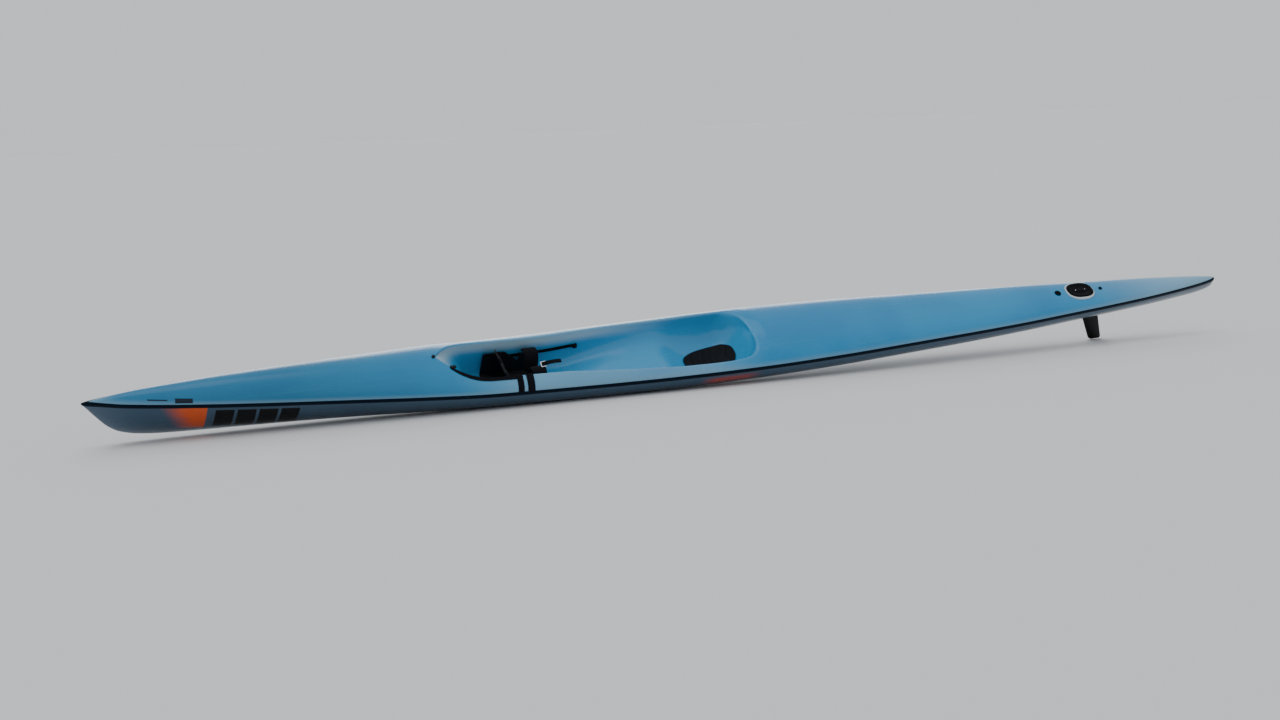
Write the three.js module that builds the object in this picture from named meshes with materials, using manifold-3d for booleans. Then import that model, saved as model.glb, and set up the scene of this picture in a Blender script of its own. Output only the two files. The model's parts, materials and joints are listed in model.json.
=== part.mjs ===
// An ocean-racing surfski: a long, narrow sit-on-top paddling boat with an open cockpit, foot-pedal
// steering and a rudder under the stern. It lies as it is left ashore, leaning on its port bilge with
// the bow's keel and the rudder's tip on the ground.
// Lengths are millimetres. Every piece is drawn in the boat's own frame, upright: x forward from
// midship, y to port, z up from the lowest point of the keel. The boat is leaned over at the end.
import * as THREE from "three";
import { mergeVertices } from "three/addons/utils/BufferGeometryUtils.js";
import Module from "manifold-3d";

const wasm = await Module();
wasm.setup();

// Driving dimensions
const LENGTH = 6200;
const BEAM = 430;
const HALF = LENGTH / 2;
const SKIN = 6; // thickness of the moulded cockpit tub
const RIDGE_HALF = 24; // half width of the ridge between the heels
const GAP = 0.4; // between pieces that touch
const ABOVE = 500; // higher than any piece
const FAR = 4000; // beyond both ends
const LEAN_DEG = 37.64; // roll to port as it lies
const BOW_DOWN_DEG = 1.74; // the rudder props up the stern

// Shape of the hull and deck: one row for each station along the boat.
// half: half width at the seam; keel, seam: heights; crown: deck height above the seam on the centreline;
// hullPower, deckPower: fullness of the section, where 1 is a straight V and 2 an ellipse.
const STATIONS = [
  // x, half, keel, seam, crown, hullPower, deckPower
  [HALF, 2.5, 286, 290, 2, 1.3, 1.7],
  [3085, 6, 268, 289.5, 5, 1.3, 1.7],
  [3040, 15, 204, 288, 14, 1.3, 1.7],
  [2980, 27, 128, 284, 26, 1.32, 1.75],
  [2930, 36, 90, 280, 35, 1.34, 1.8],
  [2850, 47, 62, 275, 46, 1.37, 1.85],
  [2700, 64, 43, 265, 62, 1.42, 1.9],
  [2400, 91, 28, 246, 88, 1.5, 1.95],
  [1930, 127, 15, 219, 108, 1.66, 2],
  [1500, 162, 7, 198, 112, 1.85, 2.05],
  [1250, 179, 4, 188, 84, 1.97, 2.1],
  [1000, 188, 2, 181, 76, 2.06, 2.1],
  [600, 202, 1, 173, 72, 2.18, 2.1],
  [250, 212, 0, 169, 60, 2.27, 2.15],
  [0, BEAM / 2, 0, 167, 60, 2.3, 2.2],
  [-200, 214, 0, 165, 68, 2.3, 2.25],
  [-600, 203, 1, 161, 68, 2.3, 2.35],
  [-1100, 178, 4, 157, 63, 2.25, 2.4],
  [-1730, 143, 14, 154, 57, 2.1, 2.4],
  [-2180, 108, 30, 154, 52, 2, 2.35],
  [-2600, 74, 48, 158, 45, 1.9, 2.2],
  [-2950, 35, 76, 166, 30, 1.8, 1.9],
  [-3060, 17, 98, 170, 16, 1.8, 1.8],
  [-HALF, 6, 118, 171, 5, 1.8, 1.8],
];

// Shape of the cockpit: half width and floor height of the opening along the boat, from the pointed
// front through the footwell and over the hump to the seat bucket and its back.
// box: squareness of the section's corners; ridge: height of the keel-like ridge between the heels.
const COCKPIT = [
  // x, half, floor, box, ridge
  [1490, 5, 306, 3, 0],
  [1450, 42, 268, 3, 0],
  [1390, 84, 212, 3.4, 0],
  [1330, 106, 146, 4, 0],
  [1285, 114, 80, 5, 0],
  [1240, 117, 50, 6, 10],
  [1180, 118, 44, 6, 26],
  [1050, 120, 42, 6, 28],
  [950, 122, 42, 6, 20],
  [860, 125, 42, 6, 0],
  [780, 132, 48, 5.5, 0],
  [650, 143, 68, 5, 0],
  [520, 152, 88, 4.5, 0],
  [410, 158, 99, 4, 0],
  [320, 163, 102, 3.5, 0],
  [260, 166, 92, 3.2, 0],
  [185, 168, 58, 3, 0],
  [135, 170, 43, 2.8, 0],
  [80, 171, 34, 2.6, 0],
  [20, 171, 31, 2.6, 0],
  [-35, 169, 36, 2.6, 0],
  [-95, 160, 72, 2.6, 0],
  [-118, 153, 98, 2.6, 0],
  [-140, 143, 130, 2.6, 0],
  [-160, 127, 164, 2.6, 0],
  [-178, 99, 198, 2.6, 0],
  [-195, 40, 224, 2.6, 0],
];
const OUTER_X = [
  3100, 3085, 3040, 2980, 2930, 2850, 2700, 2550, 2400, 2160, 1930, 1700, 1500, 1350, 1180, 1030, 860, 680,
  500, 300, 100, -100, -300, -600, -850, -1100, -1400, -1730, -1950, -2180, -2320, -2480, -2650, -2800, -2950,
  -3020, -3070, -3100,
];

// Value of one column of a table at x, on a smooth curve through the rows.
function fair(table, column, x) {
  const last = table.length - 1;
  if (x >= table[0][0]) return table[0][column];
  if (x <= table[last][0]) return table[last][column];
  let i = 0;
  while (table[i + 1][0] > x) i++;
  const slope = (j) => {
    const a = table[Math.max(j - 1, 0)];
    const b = table[j];
    const c = table[Math.min(j + 1, last)];
    const before = a === b ? null : (b[column] - a[column]) / (b[0] - a[0]);
    const after = b === c ? null : (c[column] - b[column]) / (c[0] - b[0]);
    if (before === null) return after;
    if (after === null) return before;
    return before * after <= 0 ? 0 : (2 * before * after) / (before + after);
  };
  const [a, b] = [table[i], table[i + 1]];
  const h = b[0] - a[0];
  const t = (x - a[0]) / h;
  return (
    a[column] * (1 + 2 * t) * (1 - t) ** 2 +
    b[column] * t * t * (3 - 2 * t) +
    slope(i) * h * t * (1 - t) ** 2 -
    slope(i + 1) * h * t * t * (1 - t)
  );
}

function bodyAt(x) {
  const columns = [1, 2, 3, 4, 5, 6].map((column) => fair(STATIONS, column, x));
  const [half, keel, seam, crown, hullPower, deckPower] = columns;
  return { half, keel, seam, crown, hullPower, deckPower };
}

const ovalDrop = (share, power) => Math.max(0, 1 - Math.abs(share) ** power) ** (1 / power);

// Height of the hull's outer skin and of the deck at a distance y from the centreline.
const hullZ = (s, y) => s.seam - (s.seam - s.keel) * ovalDrop(y / s.half, s.hullPower);
const deckZ = (s, y) => s.seam + s.crown * ovalDrop(y / s.half, s.deckPower);

function cockpitAt(x) {
  const [half, floor, box, ridge] = [1, 2, 3, 4].map((c) => fair(COCKPIT, c, x));
  return { half, floor, box, ridge, edge: deckZ(bodyAt(x), half) };
}

// Height of the cockpit's inner surface at a distance y from the centreline, with the tub's skin added
// when out is above zero.
function tubZ(c, y, out = 0) {
  const ridge = out > 0 ? 0 : c.ridge * Math.exp(-((y / RIDGE_HALF) ** 4));
  return c.edge - (c.edge - c.floor + out) * ovalDrop(y / (c.half + out), c.box) + ridge;
}

// Half width of the cockpit at a height z.
const tubY = (c, z) => c.half * ovalDrop((c.edge - z) / (c.edge - c.floor), c.box);

const SHARES = [1, 0.99, 0.96, 0.9, 0.78, 0.55, 0.25, 0.1, 0]; // of the cockpit's half width
const DECK_STEPS = 8; // between the seam and the deck's centreline
const HULL_STEPS = 8; // between the seam and the keel

const mirrored = (side) => [...side, ...side.slice(0, -1).reverse().map(([y, z]) => [-y, z])];

// Points [y, z] of a section from the port seam to the starboard seam: over the deck or under the hull.
function deckTop(x) {
  const s = bodyAt(x);
  const side = [];
  for (let i = 0; i <= DECK_STEPS; i++) {
    const y = i === DECK_STEPS ? 0 : s.half * Math.cos((Math.PI * i) / 2 / DECK_STEPS) ** (2 / s.deckPower);
    side.push([y, deckZ(s, y)]);
  }
  return mirrored(side);
}

function hullBottom(x, drop) {
  const s = bodyAt(x);
  const side = [];
  for (let i = 0; i <= HULL_STEPS; i++) {
    const y = i === HULL_STEPS ? 0 : s.half * Math.cos((Math.PI * i) / 2 / HULL_STEPS) ** (2 / s.hullPower);
    side.push([y, Math.min(s.seam - drop, hullZ(s, y))]);
  }
  return mirrored(side);
}

// A closed solid through rings of equal length. Its ends are fans round their middle or, for a thin
// band whose ring runs out on one face and back on the other, ladders between the two faces.
function loft(rings, ladder = false) {
  const count = rings[0].length;
  const positions = rings.flat(2);
  const index = [];
  for (let r = 0; r < rings.length - 1; r++) {
    for (let i = 0; i < count; i++) {
      const [a, b] = [r * count + i, r * count + ((i + 1) % count)];
      index.push(a, b, a + count, b, b + count, a + count);
    }
  }
  for (const end of [0, rings.length - 1]) {
    const faces = [];
    if (ladder) {
      for (let i = 0; i < count / 2 - 1; i++) {
        const [a, b, c, d] = [i, i + 1, count - 2 - i, count - 1 - i];
        faces.push([a, b, c], [a, c, d]);
      }
    } else {
      const middle = positions.length / 3;
      const mean = [0, 1, 2].map((k) => rings[end].reduce((sum, point) => sum + point[k], 0) / count);
      positions.push(...mean);
      for (let i = 0; i < count; i++) faces.push([i, (i + 1) % count, middle - end * count]);
    }
    for (const face of faces) {
      const corners = face.map((k) => k + end * count);
      index.push(...(end === 0 ? corners.reverse() : corners));
    }
  }
  let volume = 0;
  for (let i = 0; i < index.length; i += 3) {
    const [a, b, c] = [0, 1, 2].map((k) => new THREE.Vector3().fromArray(positions, index[i + k] * 3));
    volume += a.dot(b.cross(c));
  }
  const geometry = new THREE.BufferGeometry();
  geometry.setAttribute("position", new THREE.Float32BufferAttribute(positions, 3));
  geometry.setIndex(volume < 0 ? index.reverse() : index);
  return geometry;
}

const ringAt = (x, points) => points.map(([y, z]) => [x, y, z]);

// three.js geometry to a closed manifold solid and back, for cuts and joins.
function solid(geometry) {
  const bare = geometry.index ? geometry.toNonIndexed() : geometry.clone();
  bare.deleteAttribute("normal");
  bare.deleteAttribute("uv");
  const merged = mergeVertices(bare, 1e-3);
  return new wasm.Manifold(
    new wasm.Mesh({
      numProp: 3,
      vertProperties: merged.attributes.position.array,
      triVerts: new Uint32Array(merged.index.array),
    }),
  );
}

function shape(made) {
  const mesh = made.getMesh();
  const geometry = new THREE.BufferGeometry();
  geometry.setAttribute("position", new THREE.BufferAttribute(new Float32Array(mesh.vertProperties), 3));
  geometry.setIndex(new THREE.BufferAttribute(new Uint32Array(mesh.triVerts), 1));
  return geometry;
}

function cylinder(radius, x, y, z0, z1, sides = 24) {
  return new THREE.CylinderGeometry(radius, radius, z1 - z0, sides)
    .rotateX(Math.PI / 2)
    .translate(x, y, (z0 + z1) / 2);
}

function rod(radius, x, z, y0, y1, sides = 20) {
  return new THREE.CylinderGeometry(radius, radius, y1 - y0, sides).translate(x, (y0 + y1) / 2, z);
}

function block(x0, x1, y0, y1, z0, z1) {
  return new THREE.BoxGeometry(x1 - x0, y1 - y0, z1 - z0).translate(
    (x0 + x1) / 2,
    (y0 + y1) / 2,
    (z0 + z1) / 2,
  );
}

const OVAL_STEPS = 32;

function oval(rx, ry, x, z0, z1, innerX = 0, innerY = 0) {
  const outline = new THREE.Shape().absellipse(0, 0, rx, ry, 0, 2 * Math.PI);
  if (innerX > 0) outline.holes.push(new THREE.Path().absellipse(0, 0, innerX, innerY, 0, 2 * Math.PI));
  const options = { depth: z1 - z0, bevelEnabled: false, curveSegments: OVAL_STEPS };
  return new THREE.ExtrudeGeometry(outline, options).translate(x, 0, z0);
}

// Height of the deck's faceted upper surface, from a thin needle stood through it.
function topZ(x, y) {
  const needle = solid(block(x - 0.5, x + 0.5, y - 0.5, y + 0.5, 0, ABOVE));
  return DECK.intersect(needle).boundingBox().max[2];
}

// A path of [a, b] points moved sideways, to the left of its direction.
function beside(path, distance) {
  return path.map(([a, b], i) => {
    const before = path[Math.max(i - 1, 0)];
    const after = path[Math.min(i + 1, path.length - 1)];
    const unit = ([p, q], [r, t]) => new THREE.Vector2(r - p, t - q).normalize();
    const one = i === 0 ? unit([a, b], after) : unit(before, [a, b]);
    const two = i === path.length - 1 ? one : unit([a, b], after);
    const normal = new THREE.Vector2(-one.y - two.y, one.x + two.x).normalize();
    const stretch = distance / Math.max(0.5, normal.dot(new THREE.Vector2(-one.y, one.x)));
    return [a + normal.x * stretch, b + normal.y * stretch];
  });
}

// Sizes of the fittings
const HULL_SECTIONS = [
  // name, back end, front end
  ["hull_bow", 1400, FAR],
  ["hull_footwell_fore", 1120, 1400],
  ["hull_footwell_aft", 860, 1120],
  ["hull_thigh", 400, 860],
  ["hull_seat", -195, 400],
  ["hull_aft", -2075, -195],
  ["hull_well", -2335, -2075],
  ["hull_stern", -FAR, -2335],
];
const DECK_SECTIONS = [
  // name, back end, front end, starboard limit, port limit
  ["foredeck", 1290, FAR, -FAR, FAR],
  ["side_deck_port_fore", 1000, 1290, 0, FAR],
  ["side_deck_port_mid", 450, 1000, 0, FAR],
  ["side_deck_port_aft", -95, 450, 0, FAR],
  ["side_deck_starboard_fore", 1000, 1290, -FAR, 0],
  ["side_deck_starboard_mid", 450, 1000, -FAR, 0],
  ["side_deck_starboard_aft", -95, 450, -FAR, 0],
  ["rear_deck", -2075, -95, -FAR, FAR],
  ["well_deck", -2275, -2075, -FAR, FAR],
  ["stern_deck", -FAR, -2275, -FAR, FAR],
];
const WELL = { x: -2176, rx: 68, ry: 46, floor: 76 }; // hollow under the stern hatch
const RIM = { rx: 86, ry: 62, foot: 192, top: 211 };
const LID = { rx: 79, ry: 54, thick: 5, skirt: 10, skirtRx: 66, skirtRy: 44 };
const STOCK = { x: -2292, radius: 5, top: 96 };
const BEARING = { radius: 10, bore: 5.4, foot: 33, top: 80 };
const BLADE = { top: 27, rootFront: -2260, rootBack: -2368, tip: -180, tipFront: -2392, tipBack: -2474 };
const BLADE_THICK = { root: 11, tip: 6 };
const TIP_ROUND = { from: 0.9, front: 14, back: 8 }; // from this share of its height its corners draw in
const TILLER = { reach: 25, width: 14, thick: 7, foot: 84, room: 36 };
const BAILER = { x: 868, length: 104, width: 46, foot: 3, top: 44 };
const BAILER_SLOT = { endWall: 12, sideWall: 8, foot: 14 };
const PLUGS = [
  // name, x, radius
  ["vent_plug", -2034, 18],
  ["stern_plug", -2312, 10],
];
const PLUG_HEIGHT = 5;
const RAIL = { front: 1180, back: 700, z: 141, height: 14, thick: 8 };
const BOARD = { x: 1076, z: 84, length: 88, thick: 8, half: 94, tiltDeg: 28 };
// The lugs that hold the pedals' rod start below the board's top edge and end above the rod.
const LUG = { width: 7, low: 10, high: 9, proud: 4 };
const SIDE_LUG = { low: 30, high: 22, back: 6, front: 10 };
const HINGE = { up: 108, radius: 4, bore: 4.4, hub: 8 };
const PEDAL = { inner: 11, outer: 86, top: 168, thick: 6 };
const TAILS = [
  // name, x0, x1
  ["strap_tail_fore", 1092, 1122],
  ["strap_tail_aft", 1038, 1074],
];
const TAIL_PATH = { foot: 205, past: 8, end: 10, lift: 0.9 }; // over the port side deck
const WEB = 2.4; // thickness of webbing
const FOOT_STRAP = { back: 956, front: 994 };
const EDGE_STRAP = { xs: [1435, 1390, 1330, 1285, 1240, 1180, 1143], inset: 8, width: 12, lift: 0.8 };
const BAND = { end: 3050, heights: [-12, -6, 0, 5, 9], proud: [1.2, 2.4, 2.4, 2.4, 1.2] };
const PAD = { thick: 12, hem: 4 };
const PAD_OUTLINE = [
  // x, half width
  [150, 16],
  [141, 27],
  [112, 42],
  [57, 69],
  [-6, 84],
  [-59, 85],
  [-90, 68],
  [-107, 42],
  [-114, 18],
];
const CHEEK = { front: 1204, back: 1003, foot: 68, top: 190, shoulder: 1095, tail: 108 };
const CHEEK_PLATE = { thick: 6, round: 12 };
const SHOE = { back: 1100, front: 1160, halfHeight: 9 }; // the cheek's slider on the rail
const STOP = { back: 702, front: 724, reach: 10, halfHeight: 10 };
const EYE = { x: 1500, radius: 9, height: 9 }; // leash eye ahead of the cockpit

// Hull and deck. The cockpit is a plug cut out of both, with the tub as the skin between two plugs.
const hullBlock = (drop) =>
  solid(loft(OUTER_X.map((x) => ringAt(x, hullBottom(x, drop)))));
const DECK = solid(loft(OUTER_X.map((x) => ringAt(x, deckTop(x)))));

function plug(out) {
  const rings = COCKPIT.map(([x]) => {
    const c = cockpitAt(x);
    const side = SHARES.map((share) => {
      const y = share * (c.half + out);
      return [y, tubZ(c, y, out)];
    });
    return ringAt(x, [[c.half + out, ABOVE], ...mirrored(side), [-c.half - out, ABOVE]]);
  });
  return solid(loft(rings));
}

const between = (x0, x1, y0 = -FAR, y1 = FAR) => solid(block(x0, x1, y0, y1, -ABOVE, ABOVE));

function mouldings() {
  const well = solid(oval(WELL.rx, WELL.ry, WELL.x, 0, ABOVE));
  const rimSeat = solid(oval(RIM.rx + GAP, RIM.ry + GAP, WELL.x, RIM.foot - GAP, ABOVE));
  const tillerRoom = block(STOCK.x - TILLER.room, WELL.x, -TILLER.room, TILLER.room, WELL.floor, ABOVE);
  const hollow = plug(0);
  const lined = plug(SKIN);
  const cleared = plug(SKIN + GAP);
  const bailer = solid(bailerCut(GAP));
  const whole = DECK.add(hullBlock(-0.5));
  const tub = lined.intersect(whole).subtract(hollow).subtract(bailer);
  const deck = DECK.subtract(cleared).subtract(well).subtract(rimSeat);
  const hull = hullBlock(GAP)
    .subtract(cleared)
    .subtract(bailer)
    .subtract(solid(oval(WELL.rx, WELL.ry, WELL.x, WELL.floor, ABOVE)))
    .subtract(solid(tillerRoom))
    .subtract(solid(cylinder(BEARING.radius + GAP, STOCK.x, 0, -50, 150)));
  const made = { cockpit_tub: tub };
  for (const [name, back, front, low, high] of DECK_SECTIONS) {
    made[name] = deck.intersect(between(back + GAP, front, low, high));
  }
  for (const [name, back, front] of HULL_SECTIONS) made[name] = hull.intersect(between(back + GAP, front));
  return made;
}

function bailerCut(out) {
  const [l, w] = [BAILER.length / 2 + out, BAILER.width / 2 + out];
  return block(BAILER.x - l, BAILER.x + l, -w, w, -50, 150);
}

// The dark band over the seam, following both skins.
function seamBand(side) {
  const rings = OUTER_X.filter((x) => Math.abs(x) < BAND.end).map((x) => {
    const s = bodyAt(x);
    const skin = BAND.heights.map((dz) => {
      const [height, power] = dz < 0 ? [s.seam - s.keel, s.hullPower] : [s.crown, s.deckPower];
      return [s.half * ovalDrop(dz / height, power), s.seam + dz];
    });
    const outer = skin.map(([y, z], i) => [side * (y + BAND.proud[i]), z]);
    const inner = skin.map(([y, z]) => [side * (y + GAP), z]).reverse();
    return ringAt(x, [...outer, ...inner]);
  });
  return loft(rings, true);
}

// The padding laid in the seat bucket: its underside is trimmed to the bucket's surface.
function seatPad() {
  const shares = [1, 0.72, 0.4, 0.12, -0.12, -0.4, -0.72, -1];
  const rings = PAD_OUTLINE.map(([x, half], row) => {
    const c = cockpitAt(x);
    const atEnd = row === 0 || row === PAD_OUTLINE.length - 1;
    const under = shares.map((share) => [share * half, tubZ(c, share * half) - PAD.hem]);
    const over = shares.map((share) => {
      const height = atEnd || Math.abs(share) === 1 ? PAD.hem : PAD.thick;
      return [share * half, tubZ(c, share * half) + height];
    });
    return ringAt(x, [...under, ...over.reverse()]);
  });
  return shape(solid(loft(rings, true)).intersect(plug(-GAP)));
}

function footRail(side) {
  const xs = [RAIL.front, 1050, 950, 860, 780, RAIL.back];
  const rings = xs.map((x) => {
    const c = cockpitAt(x);
    const [low, high] = [RAIL.z - RAIL.height / 2, RAIL.z + RAIL.height / 2];
    const wall = Math.min(tubY(c, low), tubY(c, high)) - GAP - 1;
    const section = [
      [wall, low],
      [wall, high],
      [wall - RAIL.thick, high - 2],
      [wall - RAIL.thick, low + 2],
    ];
    return ringAt(x, section.map(([y, z]) => [side * y, z]));
  });
  return loft(rings);
}

const railInner = (x) => tubY(cockpitAt(x), RAIL.z - RAIL.height / 2) - GAP - 1 - RAIL.thick;

// A block that bears on a rail's inner face, reaching in to a distance from the centreline.
function onRail(side, x0, x1, inner, halfHeight) {
  const outer = Math.min(railInner(x0), railInner(x1)) - GAP;
  const [y0, y1] = [side * inner, side * outer].sort((a, b) => a - b);
  return block(x0, x1, y0, y1, RAIL.z - halfHeight, RAIL.z + halfHeight);
}

// One side of the foot rest: a plate that stands along the footwell's wall, with its shoe on the rail.
function cheek(side) {
  const { front, back, foot, top, shoulder, tail } = CHEEK;
  const { thick, round } = CHEEK_PLATE;
  const outline = new THREE.Shape();
  outline.moveTo(back, foot);
  outline.lineTo(front - round, foot);
  outline.quadraticCurveTo(front, foot, front, foot + round);
  outline.lineTo(front, top - round);
  outline.quadraticCurveTo(front, top, front - round, top);
  outline.lineTo(shoulder, top);
  outline.lineTo(back, tail);
  const options = { depth: thick, bevelEnabled: false, curveSegments: 4 };
  const inner = BOARD.half + GAP;
  const plate = new THREE.ExtrudeGeometry(outline, options)
    .rotateX(Math.PI / 2)
    .translate(0, side > 0 ? inner + thick : -inner, 0);
  return shape(solid(plate).add(solid(onRail(side, SHOE.back, SHOE.front, inner + 1, SHOE.halfHeight))));
}

// Foot-board: distances up are along the board, ahead is toward the bow at right angles to it.
const TILT = THREE.MathUtils.degToRad(BOARD.tiltDeg);
const onBoard = (up, ahead = 0) => [
  BOARD.x + up * Math.sin(TILT) + ahead * Math.cos(TILT),
  BOARD.z + up * Math.cos(TILT) - ahead * Math.sin(TILT),
];

function slab(up0, up1, ahead0, ahead1, y0, y1) {
  const corners = [
    onBoard(up0, ahead0),
    onBoard(up0, ahead1),
    onBoard(up1, ahead1),
    onBoard(up1, ahead0),
  ];
  return loft([y0, y1].map((y) => corners.map(([x, z]) => [x, y, z])));
}

const [HINGE_X, HINGE_Z] = onBoard(HINGE.up, BOARD.thick / 2);

function footBoard() {
  let made = solid(slab(0, BOARD.length, 0, BOARD.thick, -BOARD.half, BOARD.half));
  for (const [y0, y1] of [
    [-BOARD.half, -BOARD.half + LUG.width],
    [-LUG.width / 2, LUG.width / 2],
    [BOARD.half - LUG.width, BOARD.half],
  ]) {
    const [low, high] = [BOARD.length - LUG.low, HINGE.up + LUG.high];
    made = made.add(solid(slab(low, high, -LUG.proud, BOARD.thick + LUG.proud, y0, y1)));
  }
  for (const y0 of [-BOARD.half, BOARD.half - LUG.width]) {
    const [low, high] = [BOARD.length - SIDE_LUG.low, HINGE.up + SIDE_LUG.high];
    made = made.add(solid(slab(low, high, -SIDE_LUG.back, BOARD.thick + SIDE_LUG.front, y0, y0 + LUG.width)));
  }
  const bore = rod(HINGE.radius + GAP, HINGE_X, HINGE_Z, -BOARD.half - 5, BOARD.half + 5);
  return shape(made.subtract(solid(bore)));
}

function pedal(side) {
  const [y0, y1] = side > 0 ? [PEDAL.inner, PEDAL.outer] : [-PEDAL.outer, -PEDAL.inner];
  const [back, front] = [(BOARD.thick - PEDAL.thick) / 2, (BOARD.thick + PEDAL.thick) / 2];
  const plate = slab(HINGE.up + 2, PEDAL.top, back, front, y0, y1);
  return shape(
    solid(rod(HINGE.hub, HINGE_X, HINGE_Z, y0, y1, 24))
      .add(solid(plate))
      .subtract(solid(rod(HINGE.bore, HINGE_X, HINGE_Z, y0 - 5, y1 + 5))),
  );
}

// Webbing across the footwell: over each instep and down to the ridge between the heels.
function footStrap() {
  const [aft, fore] = [FOOT_STRAP.back, FOOT_STRAP.front];
  const edge = railInner(fore) - GAP;
  const ridge = Math.max(tubZ(cockpitAt(fore), 0), tubZ(cockpitAt(1050), 0)) + WEB + GAP;
  const side = [
    [edge, RAIL.z - 4],
    [edge, RAIL.z + 4],
    [96, 182],
    [84, 203],
    [60, 207],
    [34, 190],
    [17, 140],
    [10, ridge + 4],
  ];
  const path = [...side, [0, ridge], ...side.map(([y, z]) => [-y, z]).reverse()];
  const section = [...path, ...beside(path, WEB).reverse()];
  return loft([aft, fore].map((x) => ringAt(x, section)), true);
}

// Webbing that leaves the footwell over the port side deck and ends at the seam.
function strapTail(x0, x1) {
  const rings = [x0, x1].map((x) => {
    const c = cockpitAt(x);
    const edge = [c.half, topZ(x, c.half + 1)];
    const over = deckTop(x).filter(([y]) => y > c.half + TAIL_PATH.past);
    const end = [over[0][0] - 0.6, over[0][1] + TAIL_PATH.end];
    const path = [[c.half, TAIL_PATH.foot], edge, ...over.slice(1).reverse(), end];
    return ringAt(x, [...beside(path, TAIL_PATH.lift), ...beside(path, TAIL_PATH.lift + WEB).reverse()]);
  });
  return loft(rings, true);
}

// The strap that lies on the deck from the eye at the cockpit's point along its port edge.
function edgeStrap() {
  const rings = EDGE_STRAP.xs.map((x) => {
    const inner = cockpitAt(x).half + EDGE_STRAP.inset;
    const outer = inner + EDGE_STRAP.width;
    const [low, high] = [topZ(x, outer) + EDGE_STRAP.lift, topZ(x, inner) + EDGE_STRAP.lift];
    return ringAt(x, [
      [inner, high],
      [outer, low],
      [outer, low + WEB],
      [inner, high + WEB],
    ]);
  });
  return loft(rings);
}

function rudderBlade() {
  const outline = [
    [0, 0],
    [0.06, 0.34],
    [0.2, 0.5],
    [0.45, 0.46],
    [0.75, 0.24],
    [1, 0.05],
  ];
  const sections = [0, 0.35, 0.7, 0.93, 1];
  const rings = sections.map((t) => {
    const round = Math.max(0, (t - TIP_ROUND.from) / (1 - TIP_ROUND.from));
    const front = THREE.MathUtils.lerp(BLADE.rootFront, BLADE.tipFront, t) - TIP_ROUND.front * round ** 2;
    const back = THREE.MathUtils.lerp(BLADE.rootBack, BLADE.tipBack, t) + TIP_ROUND.back * round ** 2;
    const thick = THREE.MathUtils.lerp(BLADE_THICK.root, BLADE_THICK.tip, t) * (1 - 0.4 * round);
    const z = THREE.MathUtils.lerp(BLADE.top, BLADE.tip, t);
    const half = outline.map(([u, v]) => [front + (back - front) * u, v * thick, z]);
    const other = half.slice(1).reverse();
    return [...half, ...other.map(([x, y, h]) => [x, -y, h])];
  });
  return loft(rings);
}

function tiller() {
  const bar = block(
    STOCK.x - TILLER.width / 2,
    STOCK.x + TILLER.width / 2,
    -TILLER.reach,
    TILLER.reach,
    TILLER.foot,
    TILLER.foot + TILLER.thick,
  );
  return shape(solid(bar).subtract(solid(cylinder(STOCK.radius + GAP, STOCK.x, 0, 0, 200))));
}

function hatchLid() {
  const seat = RIM.top + GAP;
  return shape(
    solid(oval(LID.rx, LID.ry, WELL.x, seat, seat + LID.thick)).add(
      solid(oval(LID.skirtRx, LID.skirtRy, WELL.x, seat - LID.skirt, seat + 1)),
    ),
  );
}

function bailerFrame() {
  const [l, w] = [BAILER.length / 2, BAILER.width / 2];
  const [slotL, slotW] = [l - BAILER_SLOT.endWall, w - BAILER_SLOT.sideWall];
  const body = block(BAILER.x - l, BAILER.x + l, -w, w, BAILER.foot, BAILER.top);
  const slot = block(BAILER.x - slotL, BAILER.x + slotL, -slotW, slotW, BAILER_SLOT.foot, ABOVE);
  return shape(solid(body).subtract(solid(slot)));
}

function rudderBearing() {
  const tube = solid(cylinder(BEARING.radius, STOCK.x, 0, BEARING.foot, BEARING.top));
  return shape(tube.subtract(solid(cylinder(BEARING.bore, STOCK.x, 0, 0, 120))));
}

const boat = new THREE.Group();

function add(name, geometry, color, roughness, metalness = 0) {
  const material = new THREE.MeshStandardMaterial({ color, roughness, metalness });
  const mesh = new THREE.Mesh(geometry, material);
  mesh.name = name;
  boat.add(mesh);
}

const BLUE = 0x4a9cc2;
const GREY_BLUE = 0x9cb4be;
const NAVY = 0x0a1e32;
const BLACK = 0x15171a;
const STEEL = 0xb4b8bc;

for (const [name, made] of Object.entries(mouldings())) {
  add(name, shape(made), name.startsWith("hull") ? GREY_BLUE : BLUE, 0.28);
}
add("seam_band_port", seamBand(1), NAVY, 0.5);
add("seam_band_starboard", seamBand(-1), NAVY, 0.5);
add("seat_pad", seatPad(), BLACK, 0.9);
add("footrest_rail_port", footRail(1), BLACK, 0.5);
add("footrest_rail_starboard", footRail(-1), BLACK, 0.5);
add("foot_board", footBoard(), BLACK, 0.6);
add("pedal_hinge_rod", rod(HINGE.radius, HINGE_X, HINGE_Z, -BOARD.half, BOARD.half), STEEL, 0.3, 1);
add("pedal_port", pedal(1), BLACK, 0.6);
add("pedal_starboard", pedal(-1), BLACK, 0.6);
add("foot_strap", footStrap(), BLACK, 0.9);
for (const [name, x0, x1] of TAILS) add(name, strapTail(x0, x1), BLACK, 0.9);
add("edge_strap", edgeStrap(), BLACK, 0.9);
const eyeFoot = Math.max(topZ(EYE.x - EYE.radius, 0), topZ(EYE.x + EYE.radius, 0)) + GAP;
add("leash_eye", cylinder(EYE.radius, EYE.x, 0, eyeFoot, eyeFoot + EYE.height), BLACK, 0.5);
for (const [side, word] of [
  [1, "port"],
  [-1, "starboard"],
]) {
  const stop = onRail(side, STOP.back, STOP.front, railInner(STOP.front) - STOP.reach, STOP.halfHeight);
  add(`footrest_cheek_${word}`, cheek(side), BLACK, 0.5);
  add(`rail_stop_${word}`, stop, BLACK, 0.5);
}
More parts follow.
